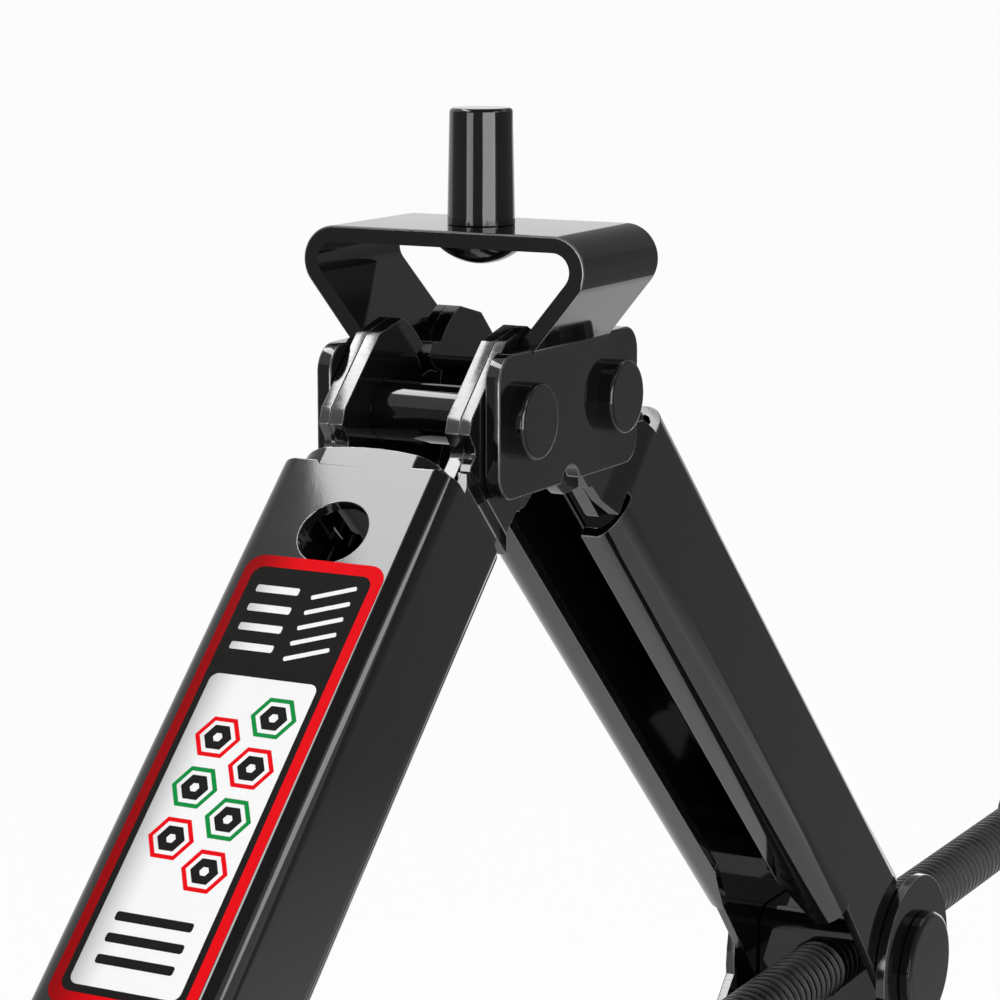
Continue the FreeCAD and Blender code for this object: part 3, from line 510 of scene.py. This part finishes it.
def colour(name):
    """A colour of the scene's settings, opaque."""
    return tuple(getattr(sizes("jack_colours"), name)) + (1.0,)


def finish_surface(tree, shader):
    """Ends a material with its shader."""
    add_node(tree, "ShaderNodeOutputMaterial", {"Surface": shader.outputs[0]})


def grain(tree, size_mm, detail=2.0, stretch=(1.0, 1.0, 1.0)):
    """Noise with spots of this size, stretched along the axes."""
    place = add_node(tree, "ShaderNodeTexCoord")
    turned = add_node(tree, "ShaderNodeMapping", {"Vector": place.outputs["Object"],
                                                  "Scale": tuple(1.0 / s for s in stretch)})
    return add_node(tree, "ShaderNodeTexNoise", {"Vector": turned.outputs[0], "Scale": 1.0 / (size_mm * MM),
                                                 "Detail": detail, "Roughness": 0.5})


def spread(tree, noise, low, high):
    """Noise mapped from its usual spread to low and high."""
    return add_node(tree, "ShaderNodeMapRange", {
        "Value": noise.outputs[0], "From Min": 0.3, "From Max": 0.7,
        "To Min": low, "To Max": high}).outputs[0]


def bumped(tree, noise, height_mm):
    """Normals of a surface with the noise as its relief."""
    return add_node(tree, "ShaderNodeBump", {"Strength": 1.0, "Distance": height_mm * MM,
                                             "Height": noise.outputs[0]}).outputs[0]


def black_enamel():
    """Black stoving enamel, sprayed on pressed steel: wet gloss with a faint orange peel."""
    material, tree = new_material("black_stoving_enamel")
    peel = grain(tree, 0.4, 2.0)
    haze = grain(tree, 14.0, 3.0)
    shader = add_node(tree, "ShaderNodeBsdfPrincipled", {
        "Base Color": colour("enamel"), "IOR": 1.46,
        "Roughness": spread(tree, haze, 0.05, 0.07), "Normal": bumped(tree, peel, 0.0011)})
    finish_surface(tree, shader)
    return material


def enamel_edge():
    """The same enamel on sheared edges: the torn steel shows through as a coarse grain."""
    material, tree = new_material("black_enamel_on_sheared_edge")
    tear = grain(tree, 0.5, 2.0, (1.0, 3.0, 1.0))
    shader = add_node(tree, "ShaderNodeBsdfPrincipled", {
        "Base Color": colour("enamel"), "IOR": 1.62,
        "Roughness": spread(tree, tear, 0.1, 0.16), "Normal": bumped(tree, tear, 0.006)})
    finish_surface(tree, shader)
    return material


def edge_wear_and_highlight():
    """Light steel along the rounded edges: partly enamel rubbed thin, partly a painted highlight that draws
    light lines on every edge.
    """
    material, tree = new_material("enamel_worn_on_edges")
    wear = grain(tree, 2.0, 3.0)
    shader = add_node(tree, "ShaderNodeBsdfPrincipled", {
        "Base Color": colour("worn"), "Metallic": 1.0, "Roughness": spread(tree, wear, 0.2, 0.4)})
    finish_surface(tree, shader)
    return material


def enamel_on_rivet():
    """Thin enamel over a sawn rivet head: fine upright lay lines under a satin gloss."""
    material, tree = new_material("black_enamel_on_sawn_steel")
    lay = grain(tree, 0.35, 2.0, (1.0, 1.0, 14.0))
    shader = add_node(tree, "ShaderNodeBsdfPrincipled", {
        "Base Color": colour("enamel"), "IOR": 1.46,
        "Roughness": spread(tree, lay, 0.12, 0.2), "Normal": bumped(tree, lay, 0.004)})
    finish_surface(tree, shader)
    return material


def blackened_steel():
    """Rolled thread steel, blackened and oiled: dark metal with a soft shine and drier patches."""
    material, tree = new_material("blackened_rolled_steel")
    patch = grain(tree, 5.0, 4.0)
    rub = grain(tree, 0.4, 1.0)
    shader = add_node(tree, "ShaderNodeBsdfPrincipled", {
        "Base Color": colour("oxide"), "Metallic": 1.0,
        "Roughness": spread(tree, patch, 0.28, 0.44), "Normal": bumped(tree, rub, 0.006)})
    finish_surface(tree, shader)
    return material


def ground_steel():
    """Hardened bearing steel, ground: bright, with fine scratches."""
    material, tree = new_material("ground_bearing_steel")
    scratch = grain(tree, 0.4, 2.0, (1.0, 6.0, 1.0))
    shader = add_node(tree, "ShaderNodeBsdfPrincipled", {
        "Base Color": colour("bright"), "Metallic": 1.0,
        "Roughness": spread(tree, scratch, 0.16, 0.3), "Normal": bumped(tree, scratch, 0.004)})
    finish_surface(tree, shader)
    return material


def printed(name, ink, far_shade=None, far_shade_from=0.0):
    """Ink on glossy vinyl film. A second colour is painted shade on the far side of the web, from a share of
    its half.
    """
    material, tree = new_material(name)
    film = grain(tree, 0.8, 2.0)
    values = {
        "Base Color": colour(ink), "Specular IOR Level": 0.05,
        "Roughness": spread(tree, film, 0.5, 0.6), "Normal": bumped(tree, film, 0.002)}
    if far_shade:
        place = add_node(tree, "ShaderNodeTexCoord")
        parts = add_node(tree, "ShaderNodeSeparateXYZ", {"Vector": place.outputs["Object"]})
        half = sizes("jack_label").width / 2
        side = add_node(tree, "ShaderNodeMapRange", {
            "Value": parts.outputs["Y"], "From Min": far_shade_from * half, "From Max": half},
            interpolation_type="SMOOTHSTEP")
        # painted shade: towards the far side of the web the ink turns to the darker colour
        mix = add_node(tree, "ShaderNodeMix", {
            "Factor": side.outputs[0], 6: colour(ink), 7: far_shade}, data_type="RGBA")
        values["Base Color"] = mix.outputs[2]
    shader = add_node(tree, "ShaderNodeBsdfPrincipled", values)
    finish_surface(tree, shader)
    return material


MADE = {}


def finish(name):
    """Each finish is made once."""
    makers = {
        "enamel": black_enamel, "edge": enamel_edge, "worn": edge_wear_and_highlight, "rivet": enamel_on_rivet,
        "oxide": blackened_steel, "bright": ground_steel,
    }
    if name not in MADE:
        MADE[name] = makers[name]()
    return MADE[name]


class JACK_OT_sheet_parts(bpy.types.Operator):
    """Pressed sheet parts: arms, gear plates, saddle and base, with softened painted edges"""

    bl_idname = "jack.sheet_parts"
    bl_label = "Sheet parts"

    def execute(self, context):
        # the last coat goes on the rounded edges: light steel, partly wear and partly a painted highlight
        coats = (finish("enamel"), finish("edge"), finish("worn"))
        edges = sizes("jack_edges")
        for level, arm_shape, plate_shape in (("upper", widen_lips, lengthen_tails), ("lower", None, None)):
            for side in ("left", "right"):
                body = "%s_%s" % (level, side)
                softened("%s_arm_%s" % (level, side), body, edges.arm, coats,
                         edge_gauge=edges.arm_gauge, shape=arm_shape)
                softened("%s_gear_plates_%s" % (level, side), body, edges.arm, coats,
                         edge_gauge=edges.plate_gauge, shape=plate_shape)
        softened("saddle_bracket", "saddle", edges.sheet, coats)
        softened("base_plate", "base", edges.sheet, coats)
        return {"FINISHED"}


class JACK_OT_pins(bpy.types.Operator):
    """Locating pin, pivot pins, trunnions and their riveted heads"""

    bl_idname = "jack.pins"
    bl_label = "Pins and trunnions"

    def execute(self, context):
        width = sizes("jack_edges").turned
        rivet = (finish("enamel"), finish("rivet"))
        enamel = (finish("enamel"),)
        softened("locating_pin", "saddle", width, enamel)
        softened("saddle_pivot_pins", "saddle", 0.0, rivet, sawn=True)
        softened("base_pivot_pins", "base", 0.0, rivet, sawn=True)
        for side in ("drive", "nut"):
            body = "trunnion_" + side
            softened(side + "_trunnion", body, width, enamel)
            softened(side + "_trunnion_caps", body, 0.0, rivet, sawn=True)
        return {"FINISHED"}


class JACK_OT_lead_screw(bpy.types.Operator):
    """Lead screw with its rolled thread, plain journal, thrust collar and nose"""

    bl_idname = "jack.lead_screw"
    bl_label = "Lead screw"

    def execute(self, context):
        thread = sizes("jack_thread")
        low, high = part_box("lead_screw")
        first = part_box("retaining_collar")[0].x - SCREW_PLACE.x
        last = high.x - SCREW_PLACE.x
        crest = thread.crest
        root = crest - thread.depth
        edge = 0.5 * MM
        tip = 1.5 * MM
        # one pitch: a flat at the root and one at the crest, with a knee that rounds the crest off
        flat = 0.3 * thread.pitch
        slope = (thread.pitch - 2 * flat) / 2
        crest_start = flat + slope
        crest_end = crest_start + flat
        knee = 0.15 * slope
        knee_drop = 0.12 * thread.depth
        profile = [(0.0, root), (flat, root), (crest_start - knee, crest - knee_drop), (crest_start, crest),
                   (crest_end, crest), (crest_end + knee, crest - knee_drop), (thread.pitch, root)]
        # spare turns at both ends are cut off again
        spare = 2
        start = first - spare * thread.pitch
        rod = drawn("thread", [(start + x, 0.0, r) for x, r in profile])
        turns = int((last - first) / thread.pitch) + 2 * spare + 1
        applied(rod, "SCREW", axis="X", angle=2 * math.pi, steps=thread.steps, render_steps=thread.steps,
                screw_offset=thread.pitch, iterations=turns, use_merge_vertices=True, merge_threshold=MERGE)
        for place, outward in ((first, -1), (last, 1)):
            edit(rod)
            bpy.ops.mesh.bisect(plane_co=(place, 0, 0), plane_no=(outward, 0, 0), use_fill=True,
                                clear_outer=True, threshold=MERGE)
        edit(rod)
        bpy.ops.mesh.remove_doubles(threshold=MERGE)
        bpy.ops.mesh.normals_make_consistent(inside=False)
        bpy.ops.object.mode_set(mode="OBJECT")
        bevel_end(rod.data, last, tip, root)
        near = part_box("thrust_washer_outer")[0].x - SCREW_PLACE.x
        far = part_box("drive_eye")[1].x - SCREW_PLACE.x
        nose = low.x - SCREW_PLACE.x
        wide = (high.z - low.z) / 2
        journal = lathed("journal", [
            (first, 0.0), (first, crest), (near, crest), (near, wide - edge), (near - edge, wide),
            (far + edge, wide), (far, wide - edge), (far, crest), (nose + tip, crest), (nose, crest - tip),
            (nose, 0.0)])
        screw = joined([rod, journal], "lead_screw_threaded")
        settle(screw, Matrix.Translation(SCREW_PLACE))
        smooth(screw, 28.0)
        dress(screw, finish("oxide"))
        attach(screw, "screw")
        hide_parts("lead_screw")
        return {"FINISHED"}


def bevel_end(mesh, end, size, root):
    """Turns the end of the thread down to a cone."""
    for vertex in mesh.vertices:
        past = vertex.co.x - (end - size)
        radius = math.hypot(vertex.co.y, vertex.co.z)
        limit = root + 1.5 * size - past
        if past > 0 and radius > limit:
            vertex.co.y *= limit / radius
            vertex.co.z *= limit / radius


class JACK_OT_drive_end(bpy.types.Operator):
    """Drive eye, collars, thrust bearing and spring pins of the screw"""

    bl_idname = "jack.drive_end"
    bl_label = "Drive end"

    def execute(self, context):
        width = sizes("jack_edges").turned
        softened("drive_eye", "screw", width, (finish("enamel"),))
        for node in ("retaining_collar", "end_stop_collar"):
            softened(node, "screw", width, (finish("oxide"),))
        for node in ("thrust_washer_outer", "thrust_cage", "thrust_balls"):
            softened(node, "screw", 0.0, (finish("bright"),))
        softened("thrust_washer_inner", "trunnion_drive", 0.0, (finish("bright"),))
        for node in ("drive_eye_pin", "retaining_collar_pin", "end_stop_pin"):
            self.spring_pin(node)
        return {"FINISHED"}

    def spring_pin(self, node):
        """A rolled tube with a slit along it"""
        low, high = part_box(node)
        middle = (low + high) / 2
        radius = (high.x - low.x) / 2
        wall = 0.28 * radius
        slit = 0.97 * radius
        edge = 0.25 * wall
        sides = 36
        clear()
        bpy.ops.mesh.primitive_circle_add(vertices=sides, radius=radius, fill_type="NOTHING")
        piece = bpy.context.object
        edit(piece)
        bpy.ops.mesh.select_all(action="DESELECT")
        bpy.ops.object.mode_set(mode="OBJECT")
        for vertex in piece.data.vertices:
            vertex.select = vertex.co.y > slit
        bpy.ops.object.mode_set(mode="EDIT")
        bpy.ops.mesh.delete(type="VERT")
        bpy.ops.mesh.select_all(action="SELECT")
        bpy.ops.mesh.extrude_region_move(TRANSFORM_OT_translate={"value": (0, 0, high.y - low.y)})
        bpy.ops.mesh.select_all(action="SELECT")
        bpy.ops.mesh.normals_make_consistent(inside=False)
        applied(piece, "SOLIDIFY", thickness=wall, offset=-1.0)
        edit(piece)
        bpy.ops.mesh.normals_make_consistent(inside=False)
        bpy.ops.object.mode_set(mode="OBJECT")
        applied(piece, "BEVEL", width=edge, segments=2, limit_method="ANGLE", angle_limit=math.radians(40))
        base = Vector((middle.x, high.y, middle.z))
        settle(piece, Matrix.Translation(base) @ Matrix.Rotation(math.radians(90), 4, "X"))
        piece.name = node + "_rolled"
        dress(piece, finish("bright"))
        smooth(piece)
        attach(piece, "screw")
        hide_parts(node)


# Layers of the label, from the web up
FILM, GROUND, PANEL, MARK = range(4)


def row(start, first_mm, step_mm, count):
    """Places along the arm, counted from a start."""
    return [start + (first_mm + step_mm * i) * MM for i in range(count)]


class JACK_OT_label(bpy.types.Operator):
    """Plain printed film on the web of the left upper arm"""

    bl_idname = "jack.label"
    bl_label = "Label"

    def execute(self, context):
        label = sizes("jack_label")
        self.level = web_rise()
        # painted shade: the red film and the white panel darken towards the far side of the web
        shade = 0.35
        shaded_red = tuple(shade * part for part in colour("red")[:3]) + (1.0,)
        red = printed("red_vinyl_film", "red", shaded_red, far_shade_from=0.1)
        black = printed("black_ink", "black")
        white = printed("white_ink", "white", colour("white_far_shade"), far_shade_from=0.3)
        green = printed("green_ink", "green")
        scarlet = printed("red_ink", "red")
        start, length, width = label.start, label.length, label.width
        middle = start + length / 2
        border = 2.4 * MM
        inner = width - 1.6 * border
        panel_start = start + 24.9 * MM
        panel_end = start + length - border - 1.4 * MM
        # each panel's length along the arm, width across it and corner
        film_size = (length, width, 3.2 * MM)
        ground_size = (length - 2 * border, inner, 2.2 * MM)
        panel_size = (panel_end - panel_start, inner - 2.6 * MM, 1.6 * MM)
        stripe_size = (0.9 * MM, 8.4 * MM, 0.3 * MM)
        dash_size = (1.5 * MM, 8.6 * MM, 0.4 * MM)
        bar_size = (1.7 * MM, 15.0 * MM, 0.5 * MM)
        self.stuck("label_film", red, [self.panel(middle, 0.0, film_size, FILM)])
        self.stuck("label_black", black, [self.panel(middle, 0.0, ground_size, GROUND)])
        self.stuck("label_white", white, [self.panel((panel_start + panel_end) / 2, 0.0, panel_size, PANEL)])
        # slanted stripes and dashes on the black ground
        slant = 20.0
        stripes = [self.panel(place, 5.6 * MM, stripe_size, PANEL, slant)
                   for place in row(start, 6.4, 3.2, 5)]
        stripes += [self.panel(place, -5.4 * MM, dash_size, PANEL) for place in row(start, 7.0, 4.0, 4)]
        self.stuck("label_stripes", white, stripes)
        # two rows of six-sided rings with dark cores, and bars, on the white panel
        radius, stroke = 4.5 * MM, 0.8 * MM
        core, core_stroke = 0.6 * radius, 0.34 * radius
        front = [(place, 4.9 * MM) for place in row(panel_start, 7.4, 10.0, 4)]
        far = [(place, -3.9 * MM) for place in row(panel_start, 12.4, 10.0, 3)]
        greens = [self.ring(*spot, radius, stroke) for spot in front[::2] + far[1:2]]
        self.stuck("label_green_rings", green, greens)
        reds = [self.ring(*spot, radius, stroke) for spot in front[1::2] + far[::2]]
        self.stuck("label_red_rings", scarlet, reds)
        cores = [self.ring(*spot, core, core_stroke) for spot in front + far]
        bars = [self.panel(place, 0.0, bar_size, MARK) for place in row(panel_end, -5.0, -4.0, 3)]
        self.stuck("label_dark_marks", black, cores + bars)
        return {"FINISHED"}

    def panel(self, along, across, size, layer, turn=0.0):
        """A flat rounded panel of film or ink"""
        length, width, corner = size
        clear()
        bpy.ops.mesh.primitive_plane_add(size=1.0)
        piece = bpy.context.object
        edit(piece)
        bpy.ops.transform.resize(value=(length, width, 1.0))
        bpy.ops.mesh.bevel(offset=corner, offset_type="OFFSET", segments=8, affect="VERTICES")
        return self.laid(piece, along, across, layer, turn)

    def ring(self, along, across, radius, stroke):
        """A flat six-sided ring of ink"""
        clear()
        bpy.ops.mesh.primitive_circle_add(vertices=6, radius=radius, fill_type="NGON")
        piece = bpy.context.object
        edit(piece)
        bpy.ops.mesh.inset(thickness=stroke)
        bpy.ops.mesh.delete(type="FACE")
        return self.laid(piece, along, across, MARK)

    def laid(self, piece, along, across, layer, turn=0.0):
        """Thickens a flat piece and lays it on the web, on top of the layers before it"""
        label = sizes("jack_label")
        thick = label.film if layer == FILM else label.ink
        bpy.ops.mesh.select_all(action="SELECT")
        bpy.ops.mesh.extrude_region_move(TRANSFORM_OT_translate={"value": (0, 0, thick)})
        bpy.ops.mesh.select_all(action="SELECT")
        bpy.ops.mesh.normals_make_consistent(inside=False)
        below = 0.0 if layer == FILM else label.film + (layer - GROUND) * label.ink
        frame_of_arm = Matrix((ALONG, ACROSS, OUT)).transposed().to_4x4()
        spot = HEAD + ALONG * along + ACROSS * across + OUT * (self.level + below)
        settle(piece, Matrix.Translation(spot) @ frame_of_arm @ Matrix.Rotation(math.radians(turn), 4, "Z"))
        return piece

    def stuck(self, name, material, pieces):
        """Pieces of one ink, joined, on the arm"""
        layer = joined(pieces, name)
        dress(layer, material)
        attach(layer, "upper_left")


def web_rise():
    """Outer face of the web above the line from pin to elbow, without the arm's round end."""
    round_end = 18.0 * MM
    reach = (ELBOW - HEAD).length - round_end
    spots = [vertex.co - HEAD for vertex in frame["nodes"]["upper_arm_left"].data.vertices]
    return max(spot.dot(OUT) for spot in spots if spot.dot(ALONG) < reach)


class JACK_OT_stage(bpy.types.Operator):
    """Pale floor, soft lamps, white surroundings and the camera"""

    bl_idname = "jack.stage"
    bl_label = "Stage"

    def execute(self, context):
        stage = sizes("jack_stage")
        scene = context.scene
        scene.view_settings.view_transform = "Standard"
        clear()
        bpy.ops.mesh.primitive_plane_add(size=stage.floor, location=(0, 0, 0))
        floor = context.object
        floor.name = "floor"
        material, tree = new_material("pale_floor")
        paper = add_node(tree, "ShaderNodeBsdfDiffuse", {"Color": linear("#f0f0f0") + [1.0]})
        white = add_node(tree, "ShaderNodeEmission", {"Color": (1, 1, 1, 1), "Strength": 1.0})
        share = add_node(tree, "ShaderNodeMath", {
            0: self.seen(tree), 1: stage.floor_white}, operation="MULTIPLY")
        mix = add_node(tree, "ShaderNodeMixShader", {0: share.outputs[0], 1: paper.outputs[0],
                                                     2: white.outputs[0]})
        finish_surface(tree, mix)
        dress(floor, material)
        self.surroundings(scene)
        # long softbox over the back of the jack, a large one at the front left, panels beside it
        self.lamp("top_softbox", (-0.165, 0.561, 1.378), (0.065, -0.049, 0.368), (1.0, 0.155), 5.8)
        self.lamp("front_softbox", (-0.708, -1.09, 0.45), (0.0, 0.0, 0.41), (1.16, 0.9), 21.5)
        self.lamp("bend_panel", (-0.01, -1.13, 1.05), (-0.08, -0.02, 0.3), (0.4, 0.4), 2.8)
        self.lamp("left_panel", (-1.178, 0.229, 0.27), (0.0, 0.0, 0.41), (0.46, 0.5), 3.2)
        self.lamp("low_panel", (0.75, 0.0, 0.16), (0.0, 0.0, 0.3), (0.4, 0.2), 0.3)
        # grey cards that the gloss of the enamel shows: behind the camera, overhead, at the front right,
        # behind the jack and at its left
        self.card("camera_card", (-1.75, -0.95, 0.9), (3.6, 2.4), (90, 0, -61.8), (0.3, 0.3))
        self.card("top_card", (-0.1, -0.15, 0.8), (0.9, 0.56), (0, 0, 0), (0.2, 0.2))
        self.card("front_card", (0.14, -0.16, 0.34), (0.32, 0.24), (90, 0, 0), (0.3, 0.24))
        self.card("front_low_card", (0.14, -0.16, 0.16), (0.32, 0.12), (90, 0, 0), (1.2, 0.3))
        self.card("right_card", (0.57, -0.16, 0.23), (0.55, 0.46), (90, 0, 0), (0.24, 0.24))
        self.card("back_card", (1.0, -0.15, 0.75), (1.2, 0.8), (90, 0, 90), (0.3, 0.3))
        self.card("left_card", (-0.75, 1.1, 0.45), (1.6, 0.9), (90, 0, 34), (0.35, 0.35))
        data = bpy.data.cameras.new("camera")
        data.lens = stage.lens
        data.sensor_width = 36.0
        data.clip_start = 0.01
        data.clip_end = 100.0
        camera = bpy.data.objects.new("camera", data)
        scene.collection.objects.link(camera)
        camera.location = stage.camera
        camera.rotation_euler = stage.turn
        scene.camera = camera
        return {"FINISHED"}

    def card(self, name, place, size, turn, greys):
        """A plain card that only reflections show, shaded from its lower edge to its upper one"""
        clear()
        bpy.ops.mesh.primitive_plane_add(size=1.0)
        card = bpy.context.object
        card.name = name
        card.scale = (size[0], size[1], 1.0)
        card.rotation_euler = [math.radians(angle) for angle in turn]
        card.location = place
        bpy.ops.object.transform_apply(location=True, rotation=True, scale=True)
        material, tree = new_material(name + "_paper")
        spot = add_node(tree, "ShaderNodeTexCoord")
        parts = add_node(tree, "ShaderNodeSeparateXYZ", {"Vector": spot.outputs["Generated"]})
        grey = add_node(tree, "ShaderNodeMapRange", {
            "Value": parts.outputs["Z"], "To Min": greys[0], "To Max": greys[1]})
        finish_surface(tree, add_node(tree, "ShaderNodeEmission", {"Strength": grey.outputs[0]}))
        dress(card, material)
        for ray in ("camera", "diffuse", "transmission", "volume_scatter", "shadow"):
            setattr(card, "visible_" + ray, False)

    def seen(self, tree):
        """1 for what the camera, a gloss or a clear surface sees"""
        path = add_node(tree, "ShaderNodeLightPath")
        gloss = add_node(tree, "ShaderNodeMath", {
            0: path.outputs["Is Camera Ray"], 1: path.outputs["Is Glossy Ray"]}, operation="MAXIMUM")
        clear_too = add_node(tree, "ShaderNodeMath", {
            0: gloss.outputs[0], 1: path.outputs["Is Transmission Ray"]}, operation="MAXIMUM")
        return clear_too.outputs[0]

    def surroundings(self, scene):
        """White to the eye and in reflections, and a faint light on the jack"""
        world = bpy.data.worlds.new("studio")
        scene.world = world
        world.use_nodes = True
        tree = world.node_tree
        tree.nodes.clear()
        strength = sizes("jack_stage").fill
        fill = add_node(tree, "ShaderNodeBackground", {"Color": (1, 1, 1, 1), "Strength": strength})
        white = add_node(tree, "ShaderNodeBackground", {"Color": (1, 1, 1, 1), "Strength": 1.0})
        mix = add_node(tree, "ShaderNodeMixShader", {0: self.seen(tree), 1: fill.outputs[0],
                                                     2: white.outputs[0]})
        add_node(tree, "ShaderNodeOutputWorld", {"Surface": mix.outputs[0]})

    def lamp(self, name, place, aim, size, power):
        """A softbox of this size and power in watts, aimed at a spot and hidden from the camera"""
        data = bpy.data.lights.new(name, "AREA")
        data.shape = "RECTANGLE"
        data.size, data.size_y = size
        data.energy = power
        lamp = bpy.data.objects.new(name, data)
        bpy.context.scene.collection.objects.link(lamp)
        lamp.location = place
        lamp.rotation_euler = (Vector(aim) - Vector(place)).to_track_quat("-Z", "Y").to_euler()
        lamp.visible_camera = False


class JACK_PT_tools(bpy.types.Panel):
    """Steps of the scissor jack"""

    bl_label = "Scissor jack"
    bl_idname = "JACK_PT_tools"
    bl_space_type = "VIEW_3D"
    bl_region_type = "UI"
    bl_category = "Jack"

    def draw(self, context):
        for operator in OPERATORS:
            self.layout.operator(operator.bl_idname)


GROUPS = {
    "jack_thread": ThreadSizes,
    "jack_label": LabelSizes,
    "jack_edges": EdgeSizes,
    "jack_arms": ArmShapes,
    "jack_colours": FinishColours,
    "jack_stage": StageSizes,
}
OPERATORS = (
    JACK_OT_sheet_parts,
    JACK_OT_pins,
    JACK_OT_lead_screw,
    JACK_OT_drive_end,
    JACK_OT_label,
    JACK_OT_stage,
)
CLASSES = (*GROUPS.values(), *OPERATORS, JACK_PT_tools)


def register():
    for item in CLASSES:
        bpy.utils.register_class(item)
    for name, group in GROUPS.items():
        setattr(bpy.types.Scene, name, PointerProperty(type=group))


def unregister():
    for name in GROUPS:
        delattr(bpy.types.Scene, name)
    for item in reversed(CLASSES):
        bpy.utils.unregister_class(item)


def main():
    register()
    bpy.ops.jack.sheet_parts()
    bpy.ops.jack.pins()
    bpy.ops.jack.lead_screw()
    bpy.ops.jack.drive_end()
    bpy.ops.jack.label()
    bpy.ops.jack.stage()


if __name__ == "__main__":
    main()
